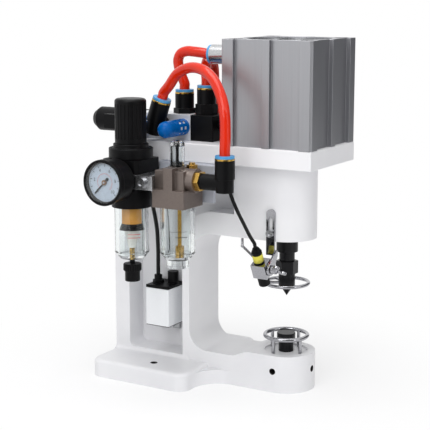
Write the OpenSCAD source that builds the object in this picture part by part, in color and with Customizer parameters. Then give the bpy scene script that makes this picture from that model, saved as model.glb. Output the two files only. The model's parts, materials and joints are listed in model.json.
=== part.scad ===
// Pneumatic button attaching machine: a cast C-frame press with an air cylinder on top,
// a pointed upper die on the ram, a lower die on the nose, an air preparation unit,
// a solenoid valve, air tubes and a positioning lamp.
// The origin lies on the table, under the die axis. +Z is up and the operator stands at -Y.

/* [Casting] */
// Width of the casting
frame_w = 57; // [50:1:66]
// Height of the casting
frame_h = 221; // [210:1:240]
// Underside of the head above the table
head_z = 149; // [142:1:155]
// Throat wall behind the die axis
throat_d = 94; // [88:1:104]
// Depth of the column behind the throat wall
column_d = 89; // [82:1:100]
// Height of the nose of the lower arm
low_arm_h = 36.5; // [28:0.5:40]
// Height of the lower arm at its waist
arm_waist = 30; // [26:1:34]
// Radius of the throat's upper corner
throat_top_r = 26; // [24:1:44]
// Radius of the throat's lower corner
throat_low_r = 20; // [12:1:34]
// Thickness of the web inside the column
web_t = 8; // [6:1:14]
// Rib between the throat and the pocket
front_rib = 8; // [5:1:12]
// Rib behind the pocket
rear_rib = 17; // [10:1:22]
// Height of the rim under the arm
arm_rim = 22; // [14:1:28]
// Thickness of the rib above the pocket
top_rib = 8; // [6:1:12]
// Solid length of the head behind the die axis
head_back = 43; // [38:1:48]
// Floor of the pocket above the table
pocket_z = 22; // [20:1:28]
// Corner radius of the pocket
pocket_r = 6; // [3:0.5:9]

/* [Base flange] */
// Width of the base flange
flange_w = 150; // [136:1:180]
// Length of the flange in front of the throat wall
flange_front = 22; // [16:1:30]
// Length of the flange behind the column
flange_tail = 0; // [0:1:15]
// Thickness of the flange
flange_h = 18; // [14:1:19]
// Corner radius of the flange
flange_r = 12; // [8:1:18]
// Rounding of the flange's upper edge
flange_edge = 4; // [1:0.5:6]
// Fillet in plan between the flange and the lower arm
flange_fillet = 28; // [16:1:32]
// Fillet between the flange and the column
foot_fillet = 4; // [2:0.5:5]
// Distance between the two bolt holes
bolt_span = 110; // [100:1:122]
// Bolt holes behind the throat wall
bolt_back = 25; // [15:1:50]
// Diameter of the bolt holes
bolt_d = 7; // [6:0.5:11]

/* [Top plate] */
// Thickness of the top plate
plate_t = 18; // [14:1:22]
// Length of the plate behind the cylinder
plate_tail = 111; // [108:1:120]

/* [Cylinder] */
// Width of the square cylinder
cyl_w = 94; // [92:1:98]
// Height of the cylinder
cyl_h = 99; // [96:1:112]
// Bore of the cylinder at its standard width
bore_d = 80; // [72:1:82]
// Depth of the panels in its faces
panel_depth = 4; // [1:0.5:4.5]
// Width of the rib in the middle of each face
panel_rib = 8; // [4:1:14]
// Width of the corner lobes
panel_edge = 13; // [11:1:16]
// Chamfer on the four corners
corner_cut = 2; // [1:0.5:9]
// Pitch of the four long bolts at the standard width
cyl_bolt_pitch = 73; // [72:0.5:74]
// Diameter of the long bolts
cyl_bolt_d = 8; // [6:0.5:8]
// Thickness of the rod cover
rod_cover_t = 16; // [12:1:18]
// Thickness of the top cover
top_cover_t = 8; // [6:1:10]
// Thickness of the piston's sealing land
piston_t = 14; // [12:1:16]
// Diameter of the piston rod
rod_d = 20; // [16:1:20]
// Travel of the ram
stroke = 35; // [30:1:38]

/* [Ram and dies] */
// Diameter of the ram
ram_d = 21; // [21:0.5:24]
// Outside diameter of the guide bush
bush_d = 30; // [28:1:36]
// Length of the ram below the head at rest
ram_out = 14.5; // [10:0.5:16]
// Diameter of the neck under the ram
neck_d = 15; // [12:0.5:18]
// Length of the neck
neck_l = 9; // [7:0.5:11]
// Diameter of the stud that carries the die
stud_d = 10; // [8:0.5:11]
// Width across the flats of the lock nut
nut_af = 19; // [17:0.5:22]
// Height of the lock nut
nut_h = 12.5; // [10:0.5:14]
// Diameter of the upper die
die_d = 16; // [15:0.5:20]
// Length of the upper die above its tip
die_l = 14.5; // [13:0.5:18]
// Diameter of the pointed tip
tip_d = 10.5; // [8:0.5:13]
// Length of the pointed tip
tip_h = 8; // [4:0.5:9]
// Outside diameter of the upper guard ring
ring_d = 45.6; // [42:0.2:48]
// Wire diameter of the upper guard ring
ring_wire = 3.5; // [3:0.1:4]
// Height of the lower die above the nose
low_die_h = 17; // [14:0.5:21]
// Diameter of the lower die
low_die_d = 14.5; // [13:0.5:17]
// Diameter of the lower die's head
low_head_d = 18; // [16:0.5:22]
// Height of the lower die's head
low_head_h = 6; // [4:0.5:8]
// Diameter of the lower die's shank
shank_d = 12; // [10:0.5:12.5]
// Length of the lower die's shank
shank_l = 21; // [18:1:24]
// Outside diameter of the lower guard ring
low_ring_d = 45.4; // [44:0.2:48]
// Wire diameter of the lower guard ring
low_ring_wire = 4; // [3.4:0.1:4.6]
// Height of the lower guard ring above the nose
low_ring_h = 14.5; // [12:0.5:18]
// Diameter of the recess round the lower die
seat_d = 42; // [40:0.5:46]
// Depth of the recess round the lower die
seat_depth = 1.5; // [0.5:0.5:3]

/* [Air unit] */
// Axis of the air unit outside the plate's edge
frl_gap = 33; // [31:0.5:40]
// Port axis below the plate's underside
port_drop = 11.5; // [10:0.5:14]
// Regulator axis behind the die axis
reg_y = 126; // [125:0.5:130]
// Pitch of the two modules
module_pitch = 52; // [48:0.5:56]
// Width of the regulator body
reg_w = 40; // [38:0.5:42]
// Diameter of the bonnet
bonnet_d = 42; // [38:0.5:42]
// Height of the bonnet's flange
bonnet_h = 10; // [8:0.5:12]
// Diameter of the regulator knob
knob_d = 30; // [28:0.5:32]
// Height of the regulator knob
knob_h = 42; // [38:1:46]
// Pull that unlocks the knob
knob_lift = 3; // [2:0.5:4]
// Diameter of the bowls
bowl_d = 33; // [31:0.5:35]
// Height of the bowls below the bodies
bowl_h = 50; // [46:1:56]
// Wall of the bowls
bowl_wall = 2; // [1.5:0.25:3]
// Diameter of the filter element
element_d = 19; // [16:0.5:20]
// Diameter of the pressure gauge
gauge_d = 43; // [40:0.5:46]
// Depth of the pressure gauge
gauge_h = 23; // [21:0.5:26]
// Width of the lubricator body
lub_w = 34.5; // [34:0.5:38]
// Depth of the lubricator body
lub_d = 34; // [33.5:0.5:38.5]
// Diameter of the sight dome
dome_d = 14; // [12:0.5:16]
// Height of the sight dome
dome_h = 24; // [20:0.5:28]
// Distance from the lubricator axis to the outlet elbow
outlet_reach = 51; // [50:0.5:58]
// Thickness of the bracket
bracket_t = 3; // [2:0.5:4]

/* [Valve] */
// Width of the valve
valve_w = 27; // [26:0.5:30]
// Height of the valve
valve_h = 25; // [24:0.5:28]
// Length of the valve body
valve_l = 61; // [60:0.5:66]
// Length of the end cap
cap_l = 25; // [22:0.5:25]
// Gap between the cylinder and the end cap
valve_gap = 19; // [19:0.5:22]
// Pitch of the side ports
port_pitch = 22; // [21:0.5:23]
// Length of the pilot block
pilot_l = 16; // [14:0.5:18]
// Diameter of the coil
coil_d = 24; // [20:0.5:24]
// Length of the coil
coil_l = 43; // [32:1:44]
// Diameter of the spool
spool_d = 8; // [6:0.5:9]
// Travel of the spool
spool_travel = 4; // [3:0.5:5]
// Travel of the override button
button_travel = 1.5; // [1:0.25:2]

/* [Fittings] */
// Outside diameter of the air tubes
tube_d = 10; // [9.6:0.1:10]
// Diameter of the push-in fittings
fit_d = 18.5; // [17.5:0.5:19.5]
// Width across the flats of the hexagons
fit_hex = 19; // [17:0.5:20]
// Diameter of the threaded stubs
thread_d = 13; // [11:0.5:13]
// Tilt of the valve's inlet elbow towards the operator
inlet_tilt = 19; // [0:1:24]
// Diameter of the silencers
silencer_d = 16; // [13:0.5:16]
// Length of the silencers
silencer_l = 38; // [32:1:40]

/* [Junction box] */
// Depth of the junction box from the web
box_d = 30; // [26:0.5:34]
// Width of the junction box
box_w = 27; // [25:0.5:27]
// Height of the junction box
box_h = 39; // [34:0.5:39]
// Bottom of the junction box above the table
box_z = 49; // [42:1:49]
// Thickness of the box lid
lid_t = 3; // [2:0.5:3]

/* [Lamp] */
// Diameter of the lamp
lamp_d = 10; // [8:0.5:10]
// Length of the lamp above its pivot
lamp_up = 23.5; // [20:0.5:23.5]
// Length of the lamp below its pivot
lamp_down = 18.4; // [14:0.2:20]
// Lean of the lamp at rest
lamp_lean = 26; // [15:0.5:30]
// Width of the slotted bar
bar_w = 9; // [8:0.5:11]
// Thickness of the slotted bar
bar_t = 2.5; // [2:0.25:3]
// Top of the slotted bar above the underside of the head
bar_top = 31; // [29:0.5:36]
// Width of the slot
slot_w = 4.4; // [4.2:0.1:5]
// Travel of the bar on its screw
bar_travel = 12; // [8:0.5:13]
// Pivot of the lamp below the underside of the head
pivot_drop = 24; // [23:0.5:27]
// Pivot of the lamp outside the casting's face
pivot_out = 12.5; // [12:0.5:15]

/* [Fits] */
// Radial clearance of running and threaded fits
run_fit = 0.05; // [0.02:0.01:0.09]
// Clearance between parts that pass each other
gap = 0.3; // [0.2:0.05:0.5]

/* [Hidden] */
$fn = 64;
// Overrun of a cutting tool past the face it cuts
cut = 1;
white = [0.9, 0.9, 0.92];
black = [0.07, 0.07, 0.08];
steel = [0.72, 0.73, 0.75];
alloy = [0.6, 0.61, 0.63];
brass = [0.72, 0.55, 0.28];
blue = [0.05, 0.35, 0.65];
clear = [0.9, 0.93, 0.93, 0.4];
bronze = [0.5, 0.46, 0.43];
tube_red = [0.87, 0.2, 0.12];

// Casting
half_w = frame_w / 2;
column_rear = throat_d + column_d;
rim_z = head_z + arm_rim;
rim_over = 2;
waist_run = 15;
rim_r = throat_top_r + front_rib + rim_over;
seat_z = low_arm_h - seat_depth;
set_screw_d = 6;
set_screw_l = 12;
set_screw_z = 21;
// Top plate and its screws
plate_z = frame_h;
plate_top = frame_h + plate_t;
plate_w = cyl_w;
plate_rear = cyl_w / 2 + plate_tail;
screw_d = 6;
screw_head_d = 10;
screw_head_h = 6;
plate_screw_side = 9;
plate_screw_x = half_w - plate_screw_side;
plate_screw_in = 10;
plate_screw_front = 12;
plate_screw_y = [cyl_w / 2 + plate_screw_front, plate_rear - plate_screw_in];
rod_slack = 2.5;
rod_hole_d = ram_d + 2 * rod_slack;
// Cylinder
cyl_top = plate_top + cyl_h;
cyl_w_std = 94;
bore = bore_d + cyl_w - cyl_w_std;
bolt_pitch = cyl_bolt_pitch + cyl_w - cyl_w_std;
clip_t = 1.6;
clip_land = 1.4;
clip_depth = 1.5;
clip_w = 4;
bolt_head_d = 13;
bolt_head_h = 8;
bolt_sunk = 0.5;
bolt_short = 3;
rod_cover_z = plate_top + clip_land + clip_t;
chamber_z = rod_cover_z + rod_cover_t;
chamber_top = cyl_top - clip_land - clip_t - top_cover_t;
piston_relief = 8;
relief_in = 10;
port_in = 5;
piston_gap = 0.5;
piston_z = chamber_top - piston_gap - piston_relief - piston_t;
stop_h = piston_z - chamber_z - stroke - piston_gap;
seal_h = 5;
seal_depth = 3;
port_hole_d = 8;
pad_w = 24;
advance_x = -18;
advance_z = chamber_top - port_in;
return_x = 18;
return_z = chamber_z + port_in;
barrel_ports = [[advance_x, advance_z], [return_x, return_z]];
// Ram and upper die
ram_z = head_z - ram_out;
ram_sunk = 6;
ram_top = frame_h - ram_sunk;
rod_stud_d = 12;
rod_stud_l = 15;
neck_z = ram_z - neck_l;
nut_z = neck_z - nut_h;
die_z = nut_z - die_l;
ring_up = 5;
ring_z = die_z + ring_up;
ring_r = (ring_d - ring_wire) / 2;
spoke_d = 3;
spoke_in = 3;
spoke_land = 1;
stud_in = die_l - ring_up - spoke_d / 2 - spoke_land;
spoke_angles = [60, 120];
low_ring_r = (low_ring_d - low_ring_wire) / 2;
leg_d = 3.4;
leg_in = 1;
leg_r = seat_d / 2 - leg_d / 2 - leg_in;
leg_angles = [-15, 75, 165, 255];
// Air unit
frl_x = -plate_w / 2 - frl_gap;
port_z = plate_z - port_drop;
lub_y = reg_y - module_pitch;
reg_up = 16.5;
reg_down = 12.5;
reg_skirt = 17.5;
reg_r = 4;
reg_top = port_z + reg_up;
reg_mid = port_z - reg_down;
body_z = reg_mid - reg_skirt;
skirt_in = 1;
neck_in = 10;
neck_step = 2;
bowl_neck_d = bowl_d - 2 * neck_step;
bowl_z = body_z - bowl_h;
bowl_id = bowl_neck_d - 2 * bowl_wall;
chamber_in = 9;
chamber_step = 9;
chamber_d = bonnet_d - 2 * chamber_step;
seat_in = 2;
seat_slack = 1;
seat_disc_t = 5;
collar_h = 4;
collar_over = 1.75;
knob_z = reg_top + bonnet_h + collar_h;
collar_d = knob_d + 2 * collar_over;
screw_m = 10;
knob_wall = 2.5;
knob_roof = 3.5;
knob_r = 3;
flutes = 24;
flute_r = 1.1;
flute_depth = 0.6;
flute_end = 4.5;
inlet_r = 5.72;
inlet_l = 12;
gauge_off = 4;
gauge_x = frl_x - reg_w / 2 - gauge_off;
gauge_low = 1.5;
gauge_z = port_z - gauge_low;
gauge_stem_in = 7;
gauge_hex = 14;
bezel_h = 6;
bezel_over = 1.5;
gauge_stem_d = 10;
gauge_seat = gauge_h - bezel_h;
bezel_w = 2.5;
dial_step = 1;
lens_d = gauge_d - 2 * bezel_w;
dial_d = lens_d - 2 * dial_step;
lens_in = 2;
dial_t = 1;
pin_l = 3.4;
needle_hub_d = 5;
needle_t = 1.2;
needle_w = 1.2;
needle_end = 3;
needle_up = 1.6;
needle_zero = 45;
lens_t = 1.5;
needle_pin_d = 1.5;
stem_d = 5;
baffle_drop = 22;
baffle_z = body_z - baffle_drop;
baffle_h = 6;
baffle_gap = 0.5;
element_wall = 3;
cone_l = 18;
cone_lip = 1;
cone_in = 2;
bowl_foot = 6;
bowl_taper = 4.5;
bowl_floor = 4;
drain_drop = 6;
drain_top_d = 17;
drain_top_h = 7;
drain_end_d = 14.5;
drain_end_h = 10;
lub_rise = 4.5;
lub_z = body_z + lub_rise;
lub_down = 8.5;
lub_up = 9;
lub_mid = port_z - lub_down;
lub_top = port_z + lub_up;
lub_front_step = 5;
lub_side_step = 3;
lub_rib_w = 10;
lub_rib_h = 3;
lub_boss_d = 22;
lub_boss_l = 5;
lub_thread_l = 9;
dome_z = lub_top + lub_rib_h;
dome_flange = 2;
dome_r = 4;
dome_roof = 5;
oil_hole_d = 4;
oil_head_d = 5;
oil_needle_d = 3;
oil_needle_up = 2;
oil_slot = 1;
filler_d = 6;
filler_in = 5;
filler_hex = 9;
filler_hex_h = 4;
filler_x = 11;
filler_y = 8;
boss_in = 6;
boss_h = 8;
sinter_d = 8;
sinter_h = 9;
siphon_d = 3.5;
siphon_at = [-3, -4, 0];
nipple_hex = 17;
nipple_t = 5;
nipple_l = 8;
nipple_d = thread_d - 3;
nipple_y = lub_y - lub_w / 2 - lub_boss_l;
outlet_y = lub_y - outlet_reach;
clamp_low = 9;
clamp_z = port_z - clamp_low;
clamp_h = 13;
clamp_plate_t = 2.5;
clamp_grip = 4;
clamp_y0 = lub_y + lub_w / 2;
clamp_y1 = reg_y - reg_w / 2;
bracket_slack = 0.5;
bracket_x = frl_x + reg_w / 2 + bracket_slack;
bracket_h = 35;
bracket_z = plate_z - bracket_h;
bracket_over = 10;
bracket_y0 = lub_y - lub_w / 2 - bracket_over;
bracket_lap = 6;
bracket_y1 = clamp_y1 + bracket_lap;
bracket_gap = 3;
bracket_tab_x = -half_w - bracket_gap;
bracket_screw_x = (bracket_tab_x - plate_w / 2) / 2;
bracket_screw_end = 12;
bracket_screw_l = 10;
// Valve
valve_x1 = -3;
valve_x0 = valve_x1 - valve_w;
valve_cx = (valve_x0 + valve_x1) / 2;
valve_port_up = 15;
valve_cz = plate_top + valve_port_up;
cap_y = cyl_w / 2 + valve_gap;
valve_y = cap_y + cap_l;
pilot_y = valve_y + valve_l;
coil_y = pilot_y + pilot_l;
valve_top = plate_top + valve_h;
inlet_y = valve_y + valve_l / 2;
spool_end = 5;
spool_l = valve_l - 2 * spool_end;
spool_y = valve_y + spool_end;
spool_up = 11;
spool_cz = plate_top + spool_up;
land_gap = 6;
land_depth = 1.5;
valve_screw_d = 3;
valve_screw_head = 5.5;
valve_screw_in = 8;
valve_screw_end = 4;
valve_screw_y = [valve_y + valve_screw_end, pilot_y - valve_screw_end];
button_d = 5;
button_up = 2;
button_in = 6;
plug_d = 9;
plug_l = 6;
coil_end = 6;
coil_taper = 4;
coil_plug = [9, 15, 14];
coil_plug_out = 7.5;
coil_plug_at = 5;
coil_plug_y = coil_y + coil_plug_at;
coil_up = 2.5;
coil_cz = plate_top + coil_d / 2 + coil_up;
coil_gland_x = valve_x0 - 3;
silencer_in = 6;
silencer_low = 2;
silencer_thread = 10;
slots = 8;
slot_end = 4;
slot_depth = 2;
vent_w = 3;
vent_l = 5;
// Fittings, measured from the knee or the hexagon's seat
push_top = 25.6;
outlet_top = 23;
stub_l = 7.5;
tube_in = 14;
sleeve_l = 6;
sleeve_wall = 1.2;
collar_t = 2.6;
collar_in = 0.25;
knee_in = 1;
knee_up = 4;
leg_fit_d = 15;
air_hole_d = 6;
inlet_leg = 16;
inlet_knee_x = valve_x0 - inlet_leg;
straight_body = 15.6;
hex_low = 5;
hex_high = 10;
top_port_in = 15;
top_port_y = [valve_y + top_port_in, cap_y + top_port_in];
top_port_hex = [hex_low, hex_high];
top_port_x = -16;
straight_seat = straight_body - tube_in;
elbow_seat = push_top - tube_in;
// Junction box
box_x = -web_t / 2 - box_d;
box_back = 21;
box_y = throat_d + box_back;
box_wall = 2;
gland_d = 8;
gland_l = 8;
gland_hex = 10;
gland_hex_h = 3;
gland_off = [-16, -6];
gland_at = [box_x + box_d + gland_off[0], box_y + box_w + gland_off[1]];
socket_d = 11;
socket_h = 12;
socket_off = [-10, 7];
socket_at = [box_x + box_d + socket_off[0], box_y + socket_off[1]];
foot_in = 4;
foot_l = 8;
foot_t = 3;
// Lamp
bar_y = 2;
bar_x = -half_w - gap / 2;
bar_screw_d = 4;
bar_screw_in = half_w - bush_d / 2 - 3;
small_head_d = 7;
small_head_h = 3;
bar_screw_up = 8;
bar_screw_z = head_z + bar_screw_up;
bar_low = 11;
bend_low = 13;
bend_h = 5;
bar_step = 2.5;
pivot_x = -half_w - pivot_out;
pivot_z = head_z - pivot_drop;
tab_y = bar_y - bar_w / 2 - bar_step;
tab_r = 6;
clamp_gap_y = tab_y + bar_t + gap;
clamp_front = 3.8;
clamp_back = 1;
lamp_y = clamp_gap_y + clamp_front + lamp_d / 2;
clamp_rear = lamp_y + lamp_d / 2 + clamp_back;
wing_d = 4;
wing_hub_d = 8;
wing_hub_h = 5;
wing_in = 3;
wing_plate = 2;
wing_angle = 30;
ear = [[2, 0], [9, 4], [9, 10], [3, 3.5]];
ear_tip = [8, 7.5];
ear_r = 3;
lamp_block = [14, 15];
block_low = 7.5;
nose_over = 0.5;
lamp_end_l = 4;
lamp_end_in = 2;
rod_wire = 2.6;
rod_in = rod_wire / 2 + gap;
rod_side = lamp_block[0] / 2 - rod_in;
rod_up = 3;
rod_foot = [pivot_x + rod_side * cos(lamp_lean) - rod_up * sin(lamp_lean), clamp_rear - rod_in,
    pivot_z + rod_side * sin(lamp_lean) + rod_up * cos(lamp_lean)];
rod_reach = [15, 22.4, 15.5];
rod_bend = [pivot_x, clamp_rear, pivot_z] + rod_reach;
rod_tip = [1, 0.5, 7.5];
rod_top = rod_bend + rod_tip;

// Routes of the tubes and cables, as placed on the machine
function above(p) = p + [0, 0, plate_top];
tube_out = collar_t + 1.5;
tube_lead = 4;
elbow_out = push_top + tube_out;
outlet_out = outlet_top + tube_out;
outlet_seat = outlet_top - tube_in;
cable_lead = 3;
inlet_dir = [0, -sin(inlet_tilt), cos(inlet_tilt)];
inlet_knee = [inlet_knee_x, inlet_y, valve_cz];
supply_route = [inlet_knee + elbow_seat * inlet_dir, inlet_knee + elbow_out * inlet_dir,
    inlet_knee + (elbow_out + tube_lead) * inlet_dir,
    above([-48, 103, 54]), above([-51, 92.5, 65]), above([-55, 79.5, 71]), above([-59, 67, 72.5]),
    above([-64, 53.5, 70]), above([-69, 42, 63.5]), above([-73, 33.5, 54]), above([-76.5, 27, 43]),
    above([-79, 23.5, 30]), above([-80, 22.5, 15]),
    [frl_x, outlet_y, port_z + outlet_out + tube_lead],
    [frl_x, outlet_y, port_z + outlet_out], [frl_x, outlet_y, port_z + outlet_seat]];
straight_out = straight_body + tube_out;
barrel_seat_y = cyl_w / 2 + hex_high + straight_seat;
barrel_out_y = cyl_w / 2 + hex_high + straight_out;
advance_route = [[top_port_x, top_port_y[0], valve_top + hex_low + straight_seat],
    [top_port_x, top_port_y[0], valve_top + hex_low + straight_out],
    [top_port_x, top_port_y[0], valve_top + hex_low + straight_out + tube_lead],
    above([-16.5, 109, 61]), above([-16.5, 112, 69]), above([-17, 112.5, 76.5]),
    above([-17.5, 109, 82.5]), above([-18, 102, 85]), above([-18, 94, 84.8]),
    [advance_x, barrel_out_y + 2 * tube_lead, advance_z + 1],
    [advance_x, barrel_out_y, advance_z], [advance_x, barrel_seat_y, advance_z]];
return_route = [[top_port_x, top_port_y[1], valve_top + hex_high + straight_seat],
    [top_port_x, top_port_y[1], valve_top + hex_high + straight_out],
    [top_port_x, top_port_y[1], valve_top + hex_high + straight_out + tube_lead],
    above([-14, 83, 67]), above([-9, 85.5, 73.5]), above([-1, 88, 77]), above([8, 90, 75.5]),
    above([15, 91.5, 68.5]), above([18, 92.5, 57]), above([18, 92.5, 44]), above([18, 91.5, 35]),
    [return_x, 87, return_z + 3],
    [return_x, barrel_out_y + tube_lead, return_z],
    [return_x, barrel_out_y, return_z], [return_x, barrel_seat_y, return_z]];
coil_route = [[gland_at[0], gland_at[1], box_z + box_h + lid_t + gland_l], [-20, 136, 110],
    [-23, 134, 126], [-31, 130, 150], [-43, 127, 176], [-51, 128, 200], [-53.5, 131, 218],
    above([-52.5, 134, -5]), above([-49.5, 140, 2.6]), above([-44, 150, 3]), above([-38, 159, 7]),
    [coil_gland_x, coil_plug_y - coil_plug_at, coil_cz], [coil_gland_x, coil_plug_y, coil_cz]];
lamp_up_dir = [-sin(lamp_lean), 0, cos(lamp_lean)];
lamp_end = [pivot_x, lamp_y, pivot_z] + lamp_up * lamp_up_dir;
lamp_route = [lamp_end + run_fit * lamp_up_dir, lamp_end + cable_lead * lamp_up_dir,
    lamp_end + 2 * cable_lead * lamp_up_dir, [-53, 11.5, 157], [-50, 20, 167.5], [-47, 29.5, 180],
    [-44, 38, 194], [-40.5, 42.5, 206], [-39, 43.5, plate_z - 2 * cable_lead],
    [-39, 43.5, plate_z - cable_lead], [-39, 43.5, plate_z - run_fit]];
coil_cable_d = 4;
lamp_cable_d = 3.4;

// Catmull-Rom curve through a route, with its ends repeated
function lerp_point(p, i, t) =
    let (a = p[max(i - 1, 0)], b = p[i], c = p[i + 1], d = p[min(i + 2, len(p) - 1)])
    0.5 * (2 * b + (c - a) * t + (2 * a - 5 * b + 4 * c - d) * t * t
        + (3 * b - a - 3 * c + d) * t * t * t);
function curve(p, n) = concat(
    [for (i = [0:len(p) - 2], k = [0:n - 1]) lerp_point(p, i, k / n)], [p[len(p) - 1]]);
function unit(v) = v / norm(v);
function tangent(p, i) = unit(p[min(i + 1, len(p) - 1)] - p[max(i - 1, 0)]);
// A frame that is carried along the curve without twist
function carried(p, i, side) =
    let (t = tangent(p, i)) unit(side - (side * t) * t);
function frames(p, i = 0, side = [1, 0.02, 0.01], out = []) =
    i == len(p) ? out
    : let (s = carried(p, i, side)) frames(p, i + 1, s, concat(out, [s]));
function ring_points(p, s, t, d, sides) =
    let (u = cross(t, s))
    [for (k = [0:sides - 1]) p + d / 2 * (cos(360 * k / sides) * s + sin(360 * k / sides) * u)];

module sweep(route, d, sides, steps) {
    p = curve(route, steps);
    s = frames(p);
    points = [for (i = [0:len(p) - 1]) each ring_points(p[i], s[i], tangent(p, i), d, sides)];
    last = (len(p) - 1) * sides;
    faces = concat(
        [for (i = [0:len(p) - 2], k = [0:sides - 1]) let (n = (k + 1) % sides)
            each [[i * sides + k, (i + 1) * sides + k, (i + 1) * sides + n],
                [i * sides + k, (i + 1) * sides + n, i * sides + n]]],
        [[for (k = [0:sides - 1]) k]],
        [[for (k = [sides - 1:-1:0]) last + k]]);
    polyhedron(points, faces);
}

module round_rect(x0, y0, x1, y1, r) {
    translate([x0 + r, y0]) square([x1 - x0 - 2 * r, y1 - y0]);
    translate([x0, y0 + r]) square([x1 - x0, y1 - y0 - 2 * r]);
    for (x = [x0 + r, x1 - r], y = [y0 + r, y1 - r]) translate([x, y]) circle(r);
}

module box(x0, y0, z0, x1, y1, z1) {
    translate([x0, y0, z0]) cube([x1 - x0, y1 - y0, z1 - z0]);
}

// A side view, drawn with Y across and Z up, as a slab from x0 of width w
module from_side(x0, w) {
    translate([x0, 0, 0]) rotate([90, 0, 90]) linear_extrude(w) children();
}

module hexagon(af, h) {
    cylinder(r = af / 2 / cos(30), h = h, $fn = 6);
}

module torus(r, wire) {
    rotate_extrude() translate([r, 0]) circle(d = wire);
}

module rod_between(p, q, d) {
    v = q - p;
    translate(p) rotate([0, acos(v[2] / norm(v)), atan2(v[1], v[0])]) cylinder(d = d, h = norm(v));
}

// A socket screw whose head's seat is at the origin and whose shank points down
module socket_screw(d, head_d, head_h, l) {
    difference() {
        union() {
            translate([0, 0, -l]) cylinder(d = d, h = l);
            cylinder(d = head_d, h = head_h);
        }
        translate([0, 0, head_h / 2]) hexagon(d * 0.8, head_h);
    }
}

module throat_profile() {
    far = half_w + cut;
    low_z = arm_waist + throat_low_r;
    top_z = head_z - throat_top_r;
    low_y = throat_d - throat_low_r;
    top_y = throat_d - throat_top_r;
    polygon([[-far, head_z], [-far, low_arm_h], [half_w, low_arm_h], [half_w + waist_run, arm_waist],
        [low_y, arm_waist], [low_y, low_z], [throat_d, low_z], [throat_d, top_z],
        [top_y, top_z], [top_y, head_z]]);
    translate([top_y, top_z]) circle(throat_top_r);
    translate([low_y, low_z]) circle(throat_low_r);
}

// The rim that follows the throat, left standing round the pocket
module rim_profile() {
    wall = throat_d + front_rib;
    square([wall, rim_z - rim_r]);
    square([wall - rim_r, rim_z]);
    translate([wall - rim_r, rim_z - rim_r]) circle(rim_r);
}

module pocket_profile() {
    difference() {
        round_rect(head_back, pocket_z, column_rear - rear_rib, frame_h - top_rib, pocket_r);
        rim_profile();
    }
}

module flange_plan(inset) {
    y0 = throat_d - flange_front;
    y1 = column_rear + flange_tail;
    round_rect(-flange_w / 2 + inset, y0 + inset, flange_w / 2 - inset, y1 - inset, flange_r - inset);
}

module base_flange() {
    y0 = throat_d - flange_front;
    y1 = column_rear + flange_tail;
    turn_z = flange_h - flange_edge;
    linear_extrude(turn_z) flange_plan(0);
    linear_extrude(flange_h) flange_plan(flange_edge);
    for (x = [-1, 1] * (flange_w / 2 - flange_edge))
        translate([x, y0 + flange_r, turn_z]) rotate([-90, 0, 0])
            cylinder(r = flange_edge, h = y1 - y0 - 2 * flange_r);
    for (y = [y0 + flange_edge, y1 - flange_edge])
        translate([-flange_w / 2 + flange_r, y, turn_z]) rotate([0, 90, 0])
            cylinder(r = flange_edge, h = flange_w - 2 * flange_r);
    for (x = [-1, 1] * (flange_w / 2 - flange_r), y = [y0 + flange_r, y1 - flange_r])
        translate([x, y, turn_z]) torus(flange_r - flange_edge, 2 * flange_edge);
    // Fillets in plan where the flange runs into the lower arm
    for (s = [-1, 1])
        linear_extrude(turn_z) difference() {
            translate([s > 0 ? 0 : -half_w - flange_fillet, y0 - flange_fillet])
                square([half_w + flange_fillet, flange_fillet + flange_edge]);
            translate([s * (half_w + flange_fillet), y0 - flange_fillet]) circle(flange_fillet);
        }
    // Fillets where the flange runs into the column
    for (s = [-1, 1])
        translate([0, throat_d, 0]) rotate([-90, 0, 0]) linear_extrude(column_d) difference() {
            translate([s > 0 ? 0 : -half_w - foot_fillet, -flange_h - foot_fillet])
                square([half_w + foot_fillet, foot_fillet + flange_edge]);
            translate([s * (half_w + foot_fillet), -flange_h - foot_fillet]) circle(foot_fillet);
        }
}

module set_screw_places() {
    rotate([0, -90, 0]) children();
    rotate([90, 0, 0]) children();
}

module frame_casting() color(white) difference() {
    union() {
        from_side(-half_w, frame_w) difference() {
            square([column_rear, frame_h]);
            throat_profile();
        }
        cylinder(r = half_w, h = low_arm_h);
        translate([0, 0, head_z]) cylinder(r = half_w, h = frame_h - head_z);
        base_flange();
    }
    for (x = [-half_w - foot_fillet - cut, web_t / 2])
        from_side(x, half_w + foot_fillet + cut - web_t / 2) pocket_profile();
    translate([0, 0, head_z - cut]) cylinder(d = bush_d, h = frame_h - head_z + 2 * cut);
    translate([0, 0, seat_z - shank_l - cut]) cylinder(d = shank_d + 2 * run_fit, h = shank_l + 2 * cut);
    translate([0, 0, seat_z]) cylinder(d = seat_d, h = seat_depth + cut);
    translate([0, 0, set_screw_z]) set_screw_places()
        cylinder(d = set_screw_d + 2 * run_fit, h = half_w + cut);
    for (x = [-1, 1] * bolt_span / 2)
        translate([x, throat_d + bolt_back, -cut]) cylinder(d = bolt_d, h = flange_h + 2 * cut);
    for (x = [-1, 1] * plate_screw_x, y = plate_screw_y)
        translate([x, y, frame_h - top_rib - cut])
            cylinder(d = screw_d + 2 * run_fit, h = top_rib + 2 * cut);
    translate([-half_w - cut, bar_y, bar_screw_z]) rotate([0, 90, 0])
        cylinder(d = bar_screw_d + 2 * run_fit, h = bar_screw_in + 2 * cut);
    translate([-web_t / 2 - cut, box_y + box_w / 2, box_z - foot_l / 2]) rotate([0, 90, 0])
        cylinder(d = bar_screw_d + 2 * run_fit, h = web_t + 2 * cut);
}

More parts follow.
